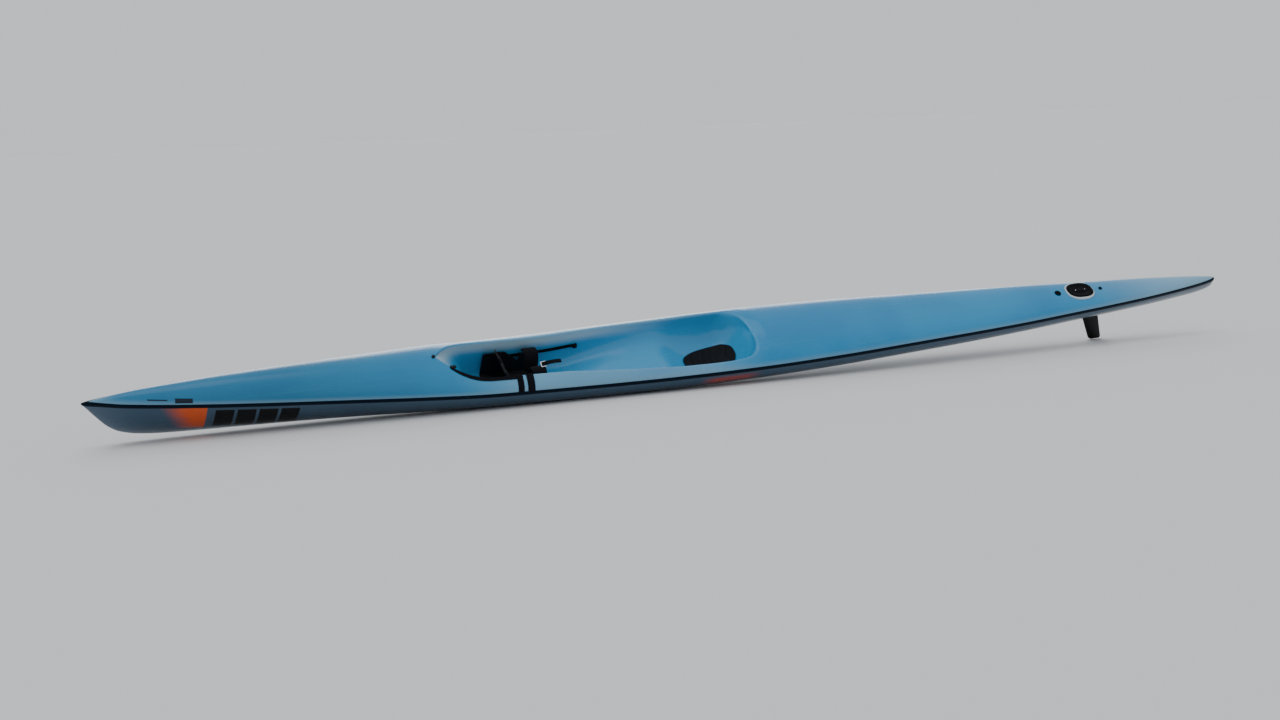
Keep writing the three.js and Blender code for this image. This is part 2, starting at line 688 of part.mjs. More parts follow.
add("bailer_frame", bailerFrame(), BLACK, 0.5);
add("hatch_rim", oval(RIM.rx, RIM.ry, WELL.x, RIM.foot, RIM.top, WELL.rx, WELL.ry), 0xb9c6cc, 0.4);
add("hatch_lid", hatchLid(), BLACK, 0.5);
for (const [name, x, radius] of PLUGS) {
  const foot = topZ(x + radius, 0) + GAP;
  add(name, cylinder(radius, x, 0, foot, foot + PLUG_HEIGHT), BLACK, 0.5);
}
add("rudder_bearing", rudderBearing(), BLACK, 0.5);
add("rudder_stock", cylinder(STOCK.radius, STOCK.x, 0, BLADE.top + GAP, STOCK.top), STEEL, 0.3, 1);
add("tiller", tiller(), STEEL, 0.35, 1);
add("rudder_blade", rudderBlade(), BLACK, 0.45);

// Lay the boat down: leaning to port, bow down, and the box of the whole centred on the floor.
const part = new THREE.Group();
boat.rotation.set(-THREE.MathUtils.degToRad(LEAN_DEG), THREE.MathUtils.degToRad(BOW_DOWN_DEG), 0, "YXZ");
part.add(boat);
part.updateMatrixWorld(true);
const box = new THREE.Box3().setFromObject(part, true);
const middle = box.getCenter(new THREE.Vector3());
boat.position.set(-middle.x, -middle.y, -box.min.z);

export default part;
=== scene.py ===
import json
import math

import bmesh
import bpy
from mathutils import Matrix, Vector


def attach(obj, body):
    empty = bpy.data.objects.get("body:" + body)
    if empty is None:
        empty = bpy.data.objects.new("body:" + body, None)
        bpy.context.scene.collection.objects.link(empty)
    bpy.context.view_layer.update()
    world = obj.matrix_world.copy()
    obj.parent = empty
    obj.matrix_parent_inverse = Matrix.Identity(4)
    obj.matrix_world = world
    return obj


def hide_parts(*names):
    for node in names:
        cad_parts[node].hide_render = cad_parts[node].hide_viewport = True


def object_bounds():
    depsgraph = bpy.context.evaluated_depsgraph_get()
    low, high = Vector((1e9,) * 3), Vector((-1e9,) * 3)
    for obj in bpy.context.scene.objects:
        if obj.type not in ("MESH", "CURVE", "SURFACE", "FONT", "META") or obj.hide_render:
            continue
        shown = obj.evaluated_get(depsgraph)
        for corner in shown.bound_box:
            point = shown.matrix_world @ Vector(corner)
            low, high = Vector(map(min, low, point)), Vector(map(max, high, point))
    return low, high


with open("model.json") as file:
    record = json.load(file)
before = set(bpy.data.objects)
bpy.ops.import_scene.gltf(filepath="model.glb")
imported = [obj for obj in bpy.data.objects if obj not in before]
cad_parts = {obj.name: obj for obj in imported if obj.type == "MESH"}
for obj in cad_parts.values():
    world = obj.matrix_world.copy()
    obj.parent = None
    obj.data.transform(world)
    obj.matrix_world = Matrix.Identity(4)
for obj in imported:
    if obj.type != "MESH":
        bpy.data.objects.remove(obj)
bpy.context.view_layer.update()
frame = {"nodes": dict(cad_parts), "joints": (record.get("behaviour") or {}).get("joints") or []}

# Camera. It stands well off the boat's port bow, 1.3 m over the floor, and is turned a little clockwise.
# A long lens brings the boat up to fill the frame.
EYE = Vector((4.405, 9.017, 1.305))
AIM = Vector((0.41, 0.0, 0.15))
CAMERA_TURN = math.radians(-2.57)

view = bpy.data.cameras.new("camera")
view.lens = 57
camera = bpy.data.objects.new("camera", view)
bpy.context.scene.collection.objects.link(camera)
aimed = (AIM - EYE).to_track_quat("-Z", "Y").to_matrix().to_4x4()
camera.matrix_world = Matrix.Translation(EYE) @ aimed @ Matrix.Rotation(CAMERA_TURN, 4, "Z")
bpy.context.scene.camera = camera

# Hull. One glass-fibre shell, laid up in a female mould and finished in glossy grey-blue gelcoat, with a
# painted arrow and a row of dark blocks on each bow. It is dulled and scratched along its bilges. All pieces
# are drawn upright, with x ahead from midship, and then laid over as the boat lies.
STEER = next(j for j in frame["joints"] if j["name"] == "rudder_steer")
TILT = next(j for j in frame["joints"] if j["name"] == "pedal_port_tilt")
STOCK_X = -2.292
STEER_Z = 0.027
UP = Vector(STEER["axis"]).normalized()
ACROSS = Vector(TILT["axis"]).normalized()
AHEAD = ACROSS.cross(UP).normalized()
LAID = Matrix((AHEAD, ACROSS, UP)).transposed().to_4x4()
LAID.translation = Vector(STEER["pos_m"]) - LAID.to_3x3() @ Vector((STOCK_X, 0, STEER_Z))

STATIONS = [
    # x, half width, keel, seam, crown, hull power, deck power
    (3.100, 0.0025, 0.286, 0.290, 0.002, 1.30, 1.70),
    (3.085, 0.006, 0.268, 0.2895, 0.005, 1.30, 1.70),
    (3.040, 0.015, 0.204, 0.288, 0.014, 1.30, 1.70),
    (2.980, 0.027, 0.128, 0.284, 0.026, 1.32, 1.75),
    (2.930, 0.036, 0.090, 0.280, 0.035, 1.34, 1.80),
    (2.850, 0.047, 0.062, 0.275, 0.046, 1.37, 1.85),
    (2.700, 0.064, 0.043, 0.265, 0.062, 1.42, 1.90),
    (2.400, 0.091, 0.028, 0.246, 0.088, 1.50, 1.95),
    (1.930, 0.127, 0.015, 0.219, 0.108, 1.66, 2.00),
    (1.500, 0.162, 0.007, 0.198, 0.112, 1.85, 2.05),
    (1.250, 0.179, 0.004, 0.188, 0.084, 1.97, 2.10),
    (1.000, 0.188, 0.002, 0.181, 0.076, 2.06, 2.10),
    (0.600, 0.202, 0.001, 0.173, 0.072, 2.18, 2.10),
    (0.250, 0.212, 0.000, 0.169, 0.060, 2.27, 2.15),
    (0.000, 0.215, 0.000, 0.167, 0.060, 2.30, 2.20),
    (-0.200, 0.214, 0.000, 0.165, 0.068, 2.30, 2.25),
    (-0.600, 0.203, 0.001, 0.161, 0.068, 2.30, 2.35),
    (-1.100, 0.178, 0.004, 0.157, 0.063, 2.25, 2.40),
    (-1.730, 0.143, 0.014, 0.154, 0.057, 2.10, 2.40),
    (-2.180, 0.108, 0.030, 0.154, 0.052, 2.00, 2.35),
    (-2.600, 0.074, 0.048, 0.158, 0.045, 1.90, 2.20),
    (-2.950, 0.035, 0.076, 0.166, 0.030, 1.80, 1.90),
    (-3.060, 0.017, 0.098, 0.170, 0.016, 1.80, 1.80),
    (-3.100, 0.006, 0.118, 0.171, 0.005, 1.80, 1.80),
]
HULL_POINTS = 28  # from the seam down to the keel
TIP = 3.100  # how far ahead and astern the two ends lie
TIP_ROUND = 0.006  # length over which each end is rounded
RUNS = [
    # from, to, step of the stations along the boat
    (TIP, 3.094, 0.0005),
    (3.094, 2.900, 0.012),
    (2.900, 1.510, 0.035),
    (1.510, 1.240, 0.008),
    (1.240, 0.150, 0.020),
    (0.150, -0.212, 0.008),
    (-0.212, -2.060, 0.040),
    (-2.060, -2.300, 0.006),
    (-2.300, -2.900, 0.030),
    (-2.900, -3.094, 0.012),
    (-3.094, -TIP, 0.0005),
]
BAILER = (0.816, 0.920, 0.023)  # back, front, half width
GELCOAT = {"IOR": 1.5, "Coat_Roughness": 0.17, "Specular_IOR_Level": 0.12}


def stations():
    xs = [TIP]
    for start, end, step in RUNS:
        count = round((start - end) / step)
        xs += [start + (end - start) * (i + 1) / count for i in range(count)]
    return xs


def fair(table, column, x):
    """The value of a table's column at x, on a smooth curve through the rows."""
    if x >= table[0][0]:
        return table[0][column]
    if x <= table[-1][0]:
        return table[-1][column]
    i = next(k for k in range(len(table) - 1) if table[k + 1][0] <= x)

    def slope(k):
        ends = [(table[j], table[j + 1]) for j in (k - 1, k) if 0 <= j < len(table) - 1]
        rates = [(b[column] - a[column]) / (b[0] - a[0]) for a, b in ends]
        if len(rates) == 1:
            return rates[0]
        before, after = rates
        return 0 if before * after <= 0 else 2 * before * after / (before + after)

    a, b = table[i], table[i + 1]
    h = b[0] - a[0]
    t = (x - a[0]) / h
    ends = a[column] * (1 + 2 * t) * (1 - t) ** 2 + b[column] * t * t * (3 - 2 * t)
    return ends + slope(i) * h * t * (1 - t) ** 2 - slope(i + 1) * h * t * t * (1 - t)


def drop(share, power):
    """The depth or height of an oval section at a share of its half width: 1 in the middle, 0 at its edge."""
    return max(0.0, 1 - abs(share) ** power) ** (1 / power)


def tip_taper(x):
    """1 along the boat, falling to nearly 0 at its two ends on a quarter of a circle."""
    into = max(0.0, (abs(x) - TIP + TIP_ROUND) / TIP_ROUND)
    return math.sqrt(max(1e-8, 1 - into ** 2))


def body_at(x):
    half, *others = [fair(STATIONS, column, x) for column in range(1, 7)]
    return [half * tip_taper(x), *others]


def deck_z(x, y):
    half, _, seam, crown, _, power = body_at(x)
    return seam + crown * drop(y / half, power)


def hull_ring(x):
    half, keel, seam, _, power, _ = body_at(x)
    side = []
    for i in range(HULL_POINTS + 1):
        y = half * math.cos(math.pi / 2 * i / HULL_POINTS) ** (2 / power) if i < HULL_POINTS else 0.0
        side.append((x, y, seam - (seam - keel) * drop(y / half, power)))
    return side + [(x, -y, z) for _, y, z in reversed(side[:-1])]


def netted(rings, closed=False):
    """Points and faces of a net through rings of equal length."""
    count = len(rings[0])
    steps = count if closed else count - 1
    faces = []
    for r in range(len(rings) - 1):
        for i in range(steps):
            a, b = r * count + i, r * count + (i + 1) % count
            faces.append((a, b, b + count, a + count))
    return [p for ring in rings for p in ring], faces


def capped(rings):
    """Points and faces of a closed skin through rings, with its first and last ring filled in."""
    points, faces = netted(rings, closed=True)
    count = len(rings[0])
    last = len(points) - count
    return points, faces + [tuple(range(count)), tuple(reversed(range(last, last + count)))]


def meshed(points, faces, merge=1e-5):
    made = bmesh.new()
    corners = [made.verts.new(p) for p in points]
    for face in faces:
        made.faces.new([corners[i] for i in face])
    bmesh.ops.remove_doubles(made, verts=made.verts, dist=merge)
    bmesh.ops.dissolve_degenerate(made, edges=made.edges, dist=merge)
    bmesh.ops.recalc_face_normals(made, faces=made.faces)
    return made


def bailer_window(made, z_below):
    """Cuts the bailer's rectangular hole in what lies under z_below."""
    x0, x1, half = BAILER
    y0, y1 = -half, half
    cuts = [((x, 0, 0), (1, 0, 0)) for x in (x0, x1)] + [((0, y, 0), (0, 1, 0)) for y in (y0, y1)]
    for point, normal in cuts:
        near = []  # only what lies round the hole is cut
        for f in made.faces:
            middle = f.calc_center_median()
            if x0 - 0.03 < middle.x < x1 + 0.03 and abs(middle.y) < 0.05:
                near.append(f)
        near += list({e for f in near for e in f.edges}) + list({v for f in near for v in f.verts})
        bmesh.ops.bisect_plane(made, geom=near, plane_co=point, plane_no=normal, dist=1e-6)
    inside = []
    for f in made.faces:
        x, y, z = f.calc_center_median()
        if x0 < x < x1 and y0 < y < y1 and z < z_below:
            inside.append(f)
    bmesh.ops.delete(made, geom=inside, context="FACES")


def over_seam(point):
    """How high a point of the hull or deck lies over the seam."""
    return point.z - fair(STATIONS, 3, point.x)


def lay(name, made, finish, body="boat", sharp=35, stands_for=(), facing=None, marks=None):
    """Turns a mesh drawn in the boat's own frame into a piece, laid over with the boat. The marks are
    functions of a point, and the finish reads what they give by their names."""
    if facing is not None and sum(f.normal.dot(Vector(facing)) * f.calc_area() for f in made.faces) < 0:
        bmesh.ops.reverse_faces(made, faces=made.faces)
    mesh = bpy.data.meshes.new(name)
    made.to_mesh(mesh)
    made.free()
    place = mesh.attributes.new("place", "FLOAT_VECTOR", "POINT")
    place.data.foreach_set("vector", [c for v in mesh.vertices for c in v.co])
    for word, worked_out in (marks or {}).items():
        mark = mesh.attributes.new(word, "FLOAT", "POINT")
        mark.data.foreach_set("value", [worked_out(v.co) for v in mesh.vertices])
    mesh.transform(LAID)
    mesh.polygons.foreach_set("use_smooth", [True] * len(mesh.polygons))
    mesh.set_sharp_from_angle(angle=math.radians(sharp))
    piece = bpy.data.objects.new(name, mesh)
    bpy.context.scene.collection.objects.link(piece)
    mesh.materials.append(finish)
    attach(piece, body)
    if stands_for:
        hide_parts(*stands_for)
    return piece


class Value:
    """Something that varies over a surface. Sums on it put Math nodes in its finish."""

    def __init__(self, finish, socket):
        self.finish, self.socket = finish, socket

    def sum(self, operation, *values):
        return self.finish.add("ShaderNodeMath", {"operation": operation}, values)

    def __add__(self, other):
        return self.sum("ADD", self, other)

    def __sub__(self, other):
        return self.sum("SUBTRACT", self, other)

    def __rsub__(self, other):
        return self.sum("SUBTRACT", other, self)

    def __mul__(self, other):
        return self.sum("MULTIPLY", self, other)

    def size(self):
        return self.sum("ABSOLUTE", self)

    def fraction(self):
        return self.sum("FRACT", self)

    def wave(self):
        return self.sum("SINE", self)

    __radd__ = __add__
    __rmul__ = __mul__


class Finish:
    """A material for one finish of the boat. The shader's constant values are given by name."""

    def __init__(self, name, **constants):
        self.material = bpy.data.materials.new(name)
        self.material.use_nodes = True
        self.tree = self.material.node_tree
        self.shader = self.tree.nodes["Principled BSDF"]
        for key, value in constants.items():
            self.shader.inputs[key.replace("_", " ")].default_value = value

    def add(self, kind, settings=(), sockets=(), out=0):
        node = self.tree.nodes.new(kind)
        for key, value in dict(settings).items():
            setattr(node, key, value)
        pairs = sockets.items() if isinstance(sockets, dict) else enumerate(sockets)
        for key, value in pairs:
            self.join(node.inputs[key], value)
        return Value(self, node.outputs[out])

    def join(self, socket, value):
        if isinstance(value, Value):
            self.tree.links.new(value.socket, socket)
        else:
            socket.default_value = value

    def where(self):
        """The place on the boat, in the boat's own frame."""
        return self.add("ShaderNodeAttribute", {"attribute_name": "place"}, out="Vector")

    def mark(self, word):
        return self.add("ShaderNodeAttribute", {"attribute_name": word}, out="Fac")

    def split(self, vector):
        node = self.add("ShaderNodeSeparateXYZ", {}, [vector]).socket.node
        return [Value(self, socket) for socket in node.outputs]

    def stretched(self, vector, scale):
        return self.add("ShaderNodeVectorMath", {"operation": "MULTIPLY"}, [vector, scale])

    def cloud(self, vector, scale, detail=3.0, roughness=0.5):
        sockets = {"Vector": vector, "Scale": scale, "Detail": detail, "Roughness": roughness}
        return self.add("ShaderNodeTexNoise", {}, sockets)

    def ramp(self, value, low, high):
        """Rises smoothly from 0 at low to 1 at high."""
        return self.add("ShaderNodeMapRange", {"interpolation_type": "SMOOTHSTEP"}, [value, low, high])

    def span(self, value, low, high, soft):
        return self.ramp(value, low - soft, low + soft) * (1 - self.ramp(value, high - soft, high + soft))

    def tinted(self, mask, under, over):
        settings = {"data_type": "RGBA"}
        return self.add("ShaderNodeMix", settings, {0: mask, 6: under, 7: over}, out=2)

    def coat(self, colour, roughness, bump, depth, coat_weight=0.0):
        """Joins what varies to the shader. The bump's depth is in metres."""
        normal = self.add("ShaderNodeBump", {}, {"Strength": 1.0, "Distance": depth, "Height": bump})
        values = {"Base Color": colour, "Roughness": roughness, "Coat Weight": coat_weight, "Normal": normal}
        for name, value in values.items():
            self.join(self.shader.inputs[name], value)
        return self.material


def rgb(red, green, blue):
    """A colour given as the 0 to 255 values of a screen."""
    linear = [((c / 255 + 0.055) / 1.055) ** 2.4 if c > 10 else c / 255 / 12.92 for c in (red, green, blue)]
    return (*linear, 1.0)


ARROW = (2.565, 2.760)  # the orange patch's back and front on each bow
BLOCKS = (2.149, 2.541, 0.098)  # the dark blocks' back and front, and the step between them
BLOCKS_DEEP = (0.030, 0.165)  # how far below the seam they begin and end
WORN_MARK = (-0.13, 0.12, 0.05, 0.135)  # back, front, foot and top of the worn orange mark below the seat


def hull_gelcoat():
    finish = Finish("hull_gelcoat", **GELCOAT)
    place = finish.where()
    x, _, z = finish.split(place)
    broad = finish.cloud(place, 2.2, 2.0)
    grain = finish.cloud(place, 55.0, 4.0, 0.6)
    streaks = finish.cloud(finish.stretched(place, (1.2, 30.0, 30.0)), 1.0, 5.0, 0.7)
    scratches = finish.cloud(finish.stretched(place, (9.0, 260.0, 260.0)), 1.0, 2.0, 0.5)
    # Both grey-blues are set darker than the gelcoat's own paler colour, in part as painted shade for a hull
    # side turned from the light.
    colour = finish.tinted(broad, rgb(48, 73, 94), rgb(60, 86, 107))
    low = 1 - finish.ramp(z, 0.02, 0.13)
    dulled = finish.ramp(streaks + low * 0.22, 0.52, 0.86)
    colour = finish.tinted(dulled * 0.4, colour, rgb(90, 106, 119))
    below_seam = finish.mark("over_seam") * -1
    back, front = ARROW
    faded = 1 - finish.ramp(x + below_seam * 0.5, back + 0.10, front + 0.03)
    upper = 1 - finish.ramp(below_seam, 0.155, 0.19)
    arrow = finish.ramp(x, back - 0.003, back + 0.003) * faded * upper
    scuffed = finish.ramp(streaks + (x - back) * 0.8, 0.55, 0.95)
    colour = finish.tinted(arrow * (1 - scuffed * 0.6), colour, rgb(214, 82, 24))
    back, front, step = BLOCKS
    turn = ((x - back) * (1 / step)).fraction()
    block = finish.span(turn, 0.0, 0.86, 0.02) * finish.span(x, back, front, 0.003)
    row = finish.span(below_seam, *BLOCKS_DEEP, 0.002)
    dark = block * row * (1 - finish.ramp(grain, 0.66, 0.76) * 0.4)
    colour = finish.tinted(dark, colour, rgb(4, 5, 10))
    back, front, foot, top = WORN_MARK
    mark = finish.span(x, back, front, 0.06) * finish.span(z, foot, top, 0.02)
    colour = finish.tinted(mark * finish.ramp(streaks, 0.42, 0.60) * 0.75, colour, rgb(196, 62, 22))
    sand = finish.ramp(finish.cloud(place, 210.0, 2.0), 0.63, 0.70) * finish.ramp(low + broad * 0.4, 0.5, 1.0)
    colour = finish.tinted(sand * 0.6, colour, rgb(178, 158, 130))
    rough = 0.2 + dulled * 0.25 + sand * 0.4
    bump = finish.ramp(scratches, 0.60, 0.72) * -0.35 + grain * 0.12 + sand * 0.8
    return finish.coat(colour, rough, bump, 0.0006, coat_weight=0.6 - dulled * 0.4 - dark * 0.45)


hull = meshed(*netted([hull_ring(x) for x in stations()]))
bailer_window(hull, z_below=0.05)
lay(
    "hull_shell", hull, hull_gelcoat(),
    stands_for=[n for n in frame["nodes"] if n.startswith("hull_")],
    facing=(0, 0, -1),
    marks={"over_seam": over_seam},
)

# Deck. A second glass-fibre moulding, glossy light blue, that carries the cockpit tub in one piece with it:
# the footwell with its heel ridge, the hump under the thighs and the seat bucket, all with rounded edges.
COCKPIT = [
    # x, half width, floor, squareness of the section, ridge between the heels
    (1.494, 0.000, 0.3095, 3.0, 0.0),
    (1.490, 0.005, 0.306, 3.0, 0.0),
    (1.450, 0.042, 0.268, 3.0, 0.0),
    (1.390, 0.084, 0.212, 3.4, 0.0),
    (1.330, 0.106, 0.146, 4.0, 0.0),
    (1.285, 0.114, 0.080, 5.0, 0.0),
    (1.240, 0.117, 0.050, 6.0, 0.010),
    (1.180, 0.118, 0.044, 6.0, 0.026),
    (1.050, 0.120, 0.042, 6.0, 0.028),
    (0.950, 0.122, 0.042, 6.0, 0.018),
    (0.925, 0.1228, 0.042, 6.0, 0.0),
    (0.860, 0.125, 0.042, 6.0, 0.0),
    (0.780, 0.132, 0.048, 5.5, 0.0),
    (0.650, 0.143, 0.068, 5.0, 0.0),
    (0.520, 0.152, 0.088, 4.5, 0.0),
    (0.410, 0.158, 0.099, 4.0, 0.0),
    (0.320, 0.163, 0.102, 3.5, 0.0),
    (0.260, 0.166, 0.092, 3.2, 0.0),
    (0.185, 0.168, 0.058, 3.0, 0.0),
    (0.135, 0.170, 0.043, 2.8, 0.0),
    (0.080, 0.171, 0.034, 2.6, 0.0),
    (0.020, 0.171, 0.031, 2.6, 0.0),
    (-0.035, 0.169, 0.036, 2.6, 0.0),
    (-0.095, 0.160, 0.072, 2.6, 0.0),
    (-0.118, 0.153, 0.098, 2.6, 0.0),
    (-0.140, 0.143, 0.130, 2.6, 0.0),
    (-0.160, 0.127, 0.164, 2.6, 0.0),
    (-0.178, 0.099, 0.198, 2.6, 0.0),
    (-0.195, 0.040, 0.224, 2.6, 0.0),
    (-0.201, 0.000, 0.230, 2.6, 0.0),
]
RIDGE_HALF = 0.024
EDGE_ROUND = 0.012  # radius of the cockpit's rim
SIDE_POINTS = 26  # seam to rim
ROUND_POINTS = 5
WALL_POINTS = 7
FLOOR_POINTS = 18
WALL_SHARE = 0.6  # of the depth, that counts as wall
RIM_END = (-0.060, 0.141, 0.165)  # the cockpit's back edge is half an oval: middle, length, half width
RIM_POWER = 2.3  # of that oval
SMOOTHINGS = 54  # passes that round the deck's bend there
SMOOTHING_FADE = 60  # passes in which their reach would shrink to nothing
WELL = (-2.176, 0.080, 0.056)  # hatch opening in the deck: middle, half length, half width
OVAL_POWER = 2.5  # of the hatch's outline: 2 is an ellipse, and more is fuller at the corners


def cockpit_at(x):
    half, floor, box, ridge = [fair(COCKPIT, column, x) for column in range(1, 5)]
    return half, floor, box, ridge, deck_z(x, half)


def tub_z(x, y):
    half, floor, box, ridge, edge = cockpit_at(x)
    return edge - (edge - floor) * drop(y / half, box) + ridge * math.exp(-((y / RIDGE_HALF) ** 4))


def tub_y(x, z):
    half, floor, box, _, edge = cockpit_at(x)
    return half * drop((edge - z) / (edge - floor), box)


def over_deck(x, inner, steps):
    half, _, seam, crown, _, power = body_at(x)
    end = math.acos((inner / half) ** (power / 2))
    side = []
    for i in range(steps + 1):
        y = half * math.cos(end * i / steps) ** (2 / power) if i < steps else inner
        side.append((y, seam + crown * drop(y / half, power)))
    return side


def deck_ring(x):
    if not COCKPIT[-1][0] < x < COCKPIT[0][0]:
        side = over_deck(x, 0.0, SIDE_POINTS)
        side += [side[-1]] * (ROUND_POINTS + WALL_POINTS + FLOOR_POINTS)
    else:
        half, floor, box, _, edge = cockpit_at(x)
        depth = edge - floor
        radius = min(EDGE_ROUND, 0.45 * depth, 0.45 * half)
        side = over_deck(x, half + radius, SIDE_POINTS)
        a = Vector(side[-1])
        b = Vector((half, edge))
        c = Vector((half * drop(radius / depth, box), edge - radius))
        for i in range(1, ROUND_POINTS + 1):
            t = i / ROUND_POINTS
            side.append(tuple(a * (1 - t) ** 2 + b * 2 * t * (1 - t) + c * t * t))
        first = radius / depth
        for i in range(1, WALL_POINTS + 1):
            d = first + (WALL_SHARE - first) * i / WALL_POINTS
            side.append((half * drop(d, box), edge - depth * d))
        start = half * drop(WALL_SHARE, box)
        for i in range(1, FLOOR_POINTS + 1):
            y = start * (1 - i / FLOOR_POINTS)
            side.append((y, tub_z(x, y)))
    port = [(x, y, z) for y, z in side]
    return port + [(x, -y, z) for _, y, z in reversed(port[:-1])]


def deck_moulding():
    made = meshed(*netted([deck_ring(x) for x in stations()]))
    bailer_window(made, z_below=0.08)
    middle, length, width = WELL

    def from_well(point):
        """How far a point lies from the well's middle: 1 on its edge."""
        share = (abs(point.x - middle) / length) ** OVAL_POWER + (abs(point.y) / width) ** OVAL_POWER
        return share ** (1 / OVAL_POWER)

    inside = [f for f in made.faces if from_well(f.calc_center_median()) < 1]
    bmesh.ops.delete(made, geom=inside, context="FACES")
    for v in made.verts:  # the ragged edge is drawn in to the oval
        if v.is_boundary and from_well(v.co) < 1.4:
            by = 1 / from_well(v.co)
            v.co = (middle + (v.co.x - middle) * by, v.co.y * by, 0)
            v.co.z = deck_z(v.co.x, v.co.y)
    rim = []
    rim_middle, rim_length, rim_half = RIM_END
    for v in made.verts:
        behind, beside = max(0.0, rim_middle - v.co.x) / rim_length, abs(v.co.y) / rim_half
        off = abs((behind ** RIM_POWER + beside ** RIM_POWER) ** (1 / RIM_POWER) - 1)  # 0 on the edge
        if behind > 0 and v.co.z > 0.12:  # on the deck or high on the seat's back
            rim.append((v, max(off / 0.30, 1 - behind / 0.35)))  # 1 where the smoothing ends
    axes = {"use_axis_x": True, "use_axis_y": True, "use_axis_z": True}
    for turn in range(SMOOTHINGS):
        limit = 1 - turn / SMOOTHING_FADE
        bmesh.ops.smooth_vert(made, verts=[v for v, off in rim if off < limit], factor=0.5, **axes)
    return made


def tub_depth(point):
    """How far below the cockpit's edge a point inside it lies, and 0 on the deck."""
    if not COCKPIT[-1][0] < point.x < COCKPIT[0][0]:
        return 0.0
    half, _, _, _, edge = cockpit_at(point.x)
    return max(0.0, edge - point.z) if abs(point.y) < half + EDGE_ROUND else 0.0


DASH = (2.738, 2.824, 0.026, 0.031)  # back, front, foot and top over the seam of a dark dash on each bow
PATCH = (2.629, 2.706, 0.016, 0.036)  # and of a dark patch behind it


def deck_gelcoat():
    finish = Finish("deck_gelcoat", **GELCOAT)
    place = finish.where()
    x, _, z = finish.split(place)
    broad = finish.cloud(place, 1.7, 3.0)
    grain = finish.cloud(place, 60.0, 4.0, 0.6)
    streaks = finish.cloud(finish.stretched(place, (2.0, 26.0, 26.0)), 1.0, 5.0, 0.7)
    scratches = finish.cloud(finish.stretched(place, (8.0, 240.0, 240.0)), 1.0, 2.0, 0.5)
    colour = finish.tinted(finish.ramp(broad, 0.3, 0.7), rgb(12, 126, 178), rgb(30, 140, 190))
    stern = 1 - finish.ramp(x, -3.0, -2.1)
    colour = finish.tinted(stern * 0.85, colour, rgb(142, 182, 204))
    # Painted shade: the deck is darkened towards the bow, where it is seen at a glancing angle.
    foredeck_painted_shade = finish.ramp(x, 1.0, 2.2)
    colour = finish.tinted(foredeck_painted_shade * 0.6, colour, rgb(20, 100, 134))
    sun = finish.ramp(streaks, 0.48, 0.8)
    colour = finish.tinted(sun * 0.25, colour, rgb(86, 152, 184))
    above_seam = finish.mark("over_seam")
    depth = finish.mark("tub_depth")
    tub = finish.ramp(depth, 0.0, 0.025)
    outside = 1 - finish.ramp(tub, 0.0, 0.4)
    # Painted light: inside the cockpit the blue is lightened to offset the shade that falls in it.
    colour = finish.tinted(tub * 0.85, colour, rgb(56, 154, 200))
    # Painted reflection: the cockpit's upper walls, just under the rim, are paled as if they mirrored the
    # bright surround.
    upper_wall = finish.ramp(depth, 0.004, 0.012) * (1 - finish.ramp(depth, 0.03, 0.085))
    rim_painted_reflection = upper_wall * finish.ramp(x, 0.1, 0.7)
    colour = finish.tinted(rim_painted_reflection * (0.45 + broad * 0.55), colour, rgb(182, 206, 216))
    # Painted highlight: the side decks beside the cockpit are paled.
    side = finish.span(x, 0.0, 1.25, 0.22) * (1 - finish.ramp(tub, 0.4, 1.0))
    colour = finish.tinted(side * (0.25 + broad * 0.35), colour, rgb(140, 180, 198))
    # Painted highlight: a pale band along the deck just over the seam.
    edge = (1 - finish.ramp(above_seam, 0.008, 0.034)) * outside
    colour = finish.tinted(edge * 0.55, colour, rgb(128, 166, 184))
    dash = finish.span(x, *DASH[:2], 0.003) * finish.span(above_seam, *DASH[2:], 0.0006)
    patch = finish.span(x, *PATCH[:2], 0.002) * finish.span(above_seam, *PATCH[2:], 0.0008)
    dark = dash + patch
    colour = finish.tinted(dark, colour, rgb(4, 26, 46))
    wet = finish.ramp(finish.cloud(place, 6.0, 3.0), 0.45, 0.62)
    sand = finish.ramp(finish.cloud(place, 230.0, 2.0), 0.66, 0.72)
    floor = 1 - finish.ramp(z, 0.06, 0.16)
    sand = sand * (0.15 + floor * 0.85) * finish.ramp(broad, 0.35, 0.6)
    colour = finish.tinted(sand * 0.65, colour, rgb(176, 156, 128))
    rough = 0.22 + sun * 0.16 + wet * 0.06 + sand * 0.4
    bump = finish.ramp(scratches, 0.62, 0.74) * -0.3 + grain * 0.10 + sand * 0.8
    return finish.coat(colour, rough, bump, 0.0005, coat_weight=0.7 - sun * 0.4 - dark * 0.3)


DECK_FINISH = deck_gelcoat()
lay(
    "deck_moulding", deck_moulding(), DECK_FINISH,
    stands_for=[n for n in frame["nodes"] if "deck" in n] + ["cockpit_tub"],
    facing=(0, 0, 1),
    marks={"over_seam": over_seam, "tub_depth": tub_depth},
)

# Seam. Hull and deck are glued edge to edge from inside and the joint is covered by a band of dark navy
# glass tape under satin paint, 22 mm wide and hardly proud, from the stem to the stern.
SIDES = [(1, "port"), (-1, "starboard")]
BAND = [
    # height over the seam, how far it stands proud
    (-0.0125, 0.0000),
    (-0.0118, 0.0012),
    (-0.0060, 0.0017),
    (0.0000, 0.0021),
    (0.0040, 0.0019),
    (0.0075, 0.0016),
    (0.0088, 0.0012),
    (0.0093, 0.0004),
]


def seam_band(side):
    rings = []
    for x in stations():
        half, keel, seam, crown, hull_power, deck_power = body_at(x)
        ring = []
        for height, proud in BAND:
            below = height < 0
            room, power = (seam - keel, hull_power) if below else (crown, deck_power)
            widest = abs(BAND[0 if below else -1][0])
            high = abs(height) * min(1.0, room / widest)  # at the two tips the band closes over the middle
            share = drop(high / room, power)
            out = Vector((share ** (power - 1) / half, (high / room) ** (power - 1) / room)).normalized()
            out *= proud * tip_taper(x)
            ring.append((x, side * (half * share + out.x), seam + math.copysign(high + out.y, height)))
        rings.append(ring)
    return meshed(*netted(rings))


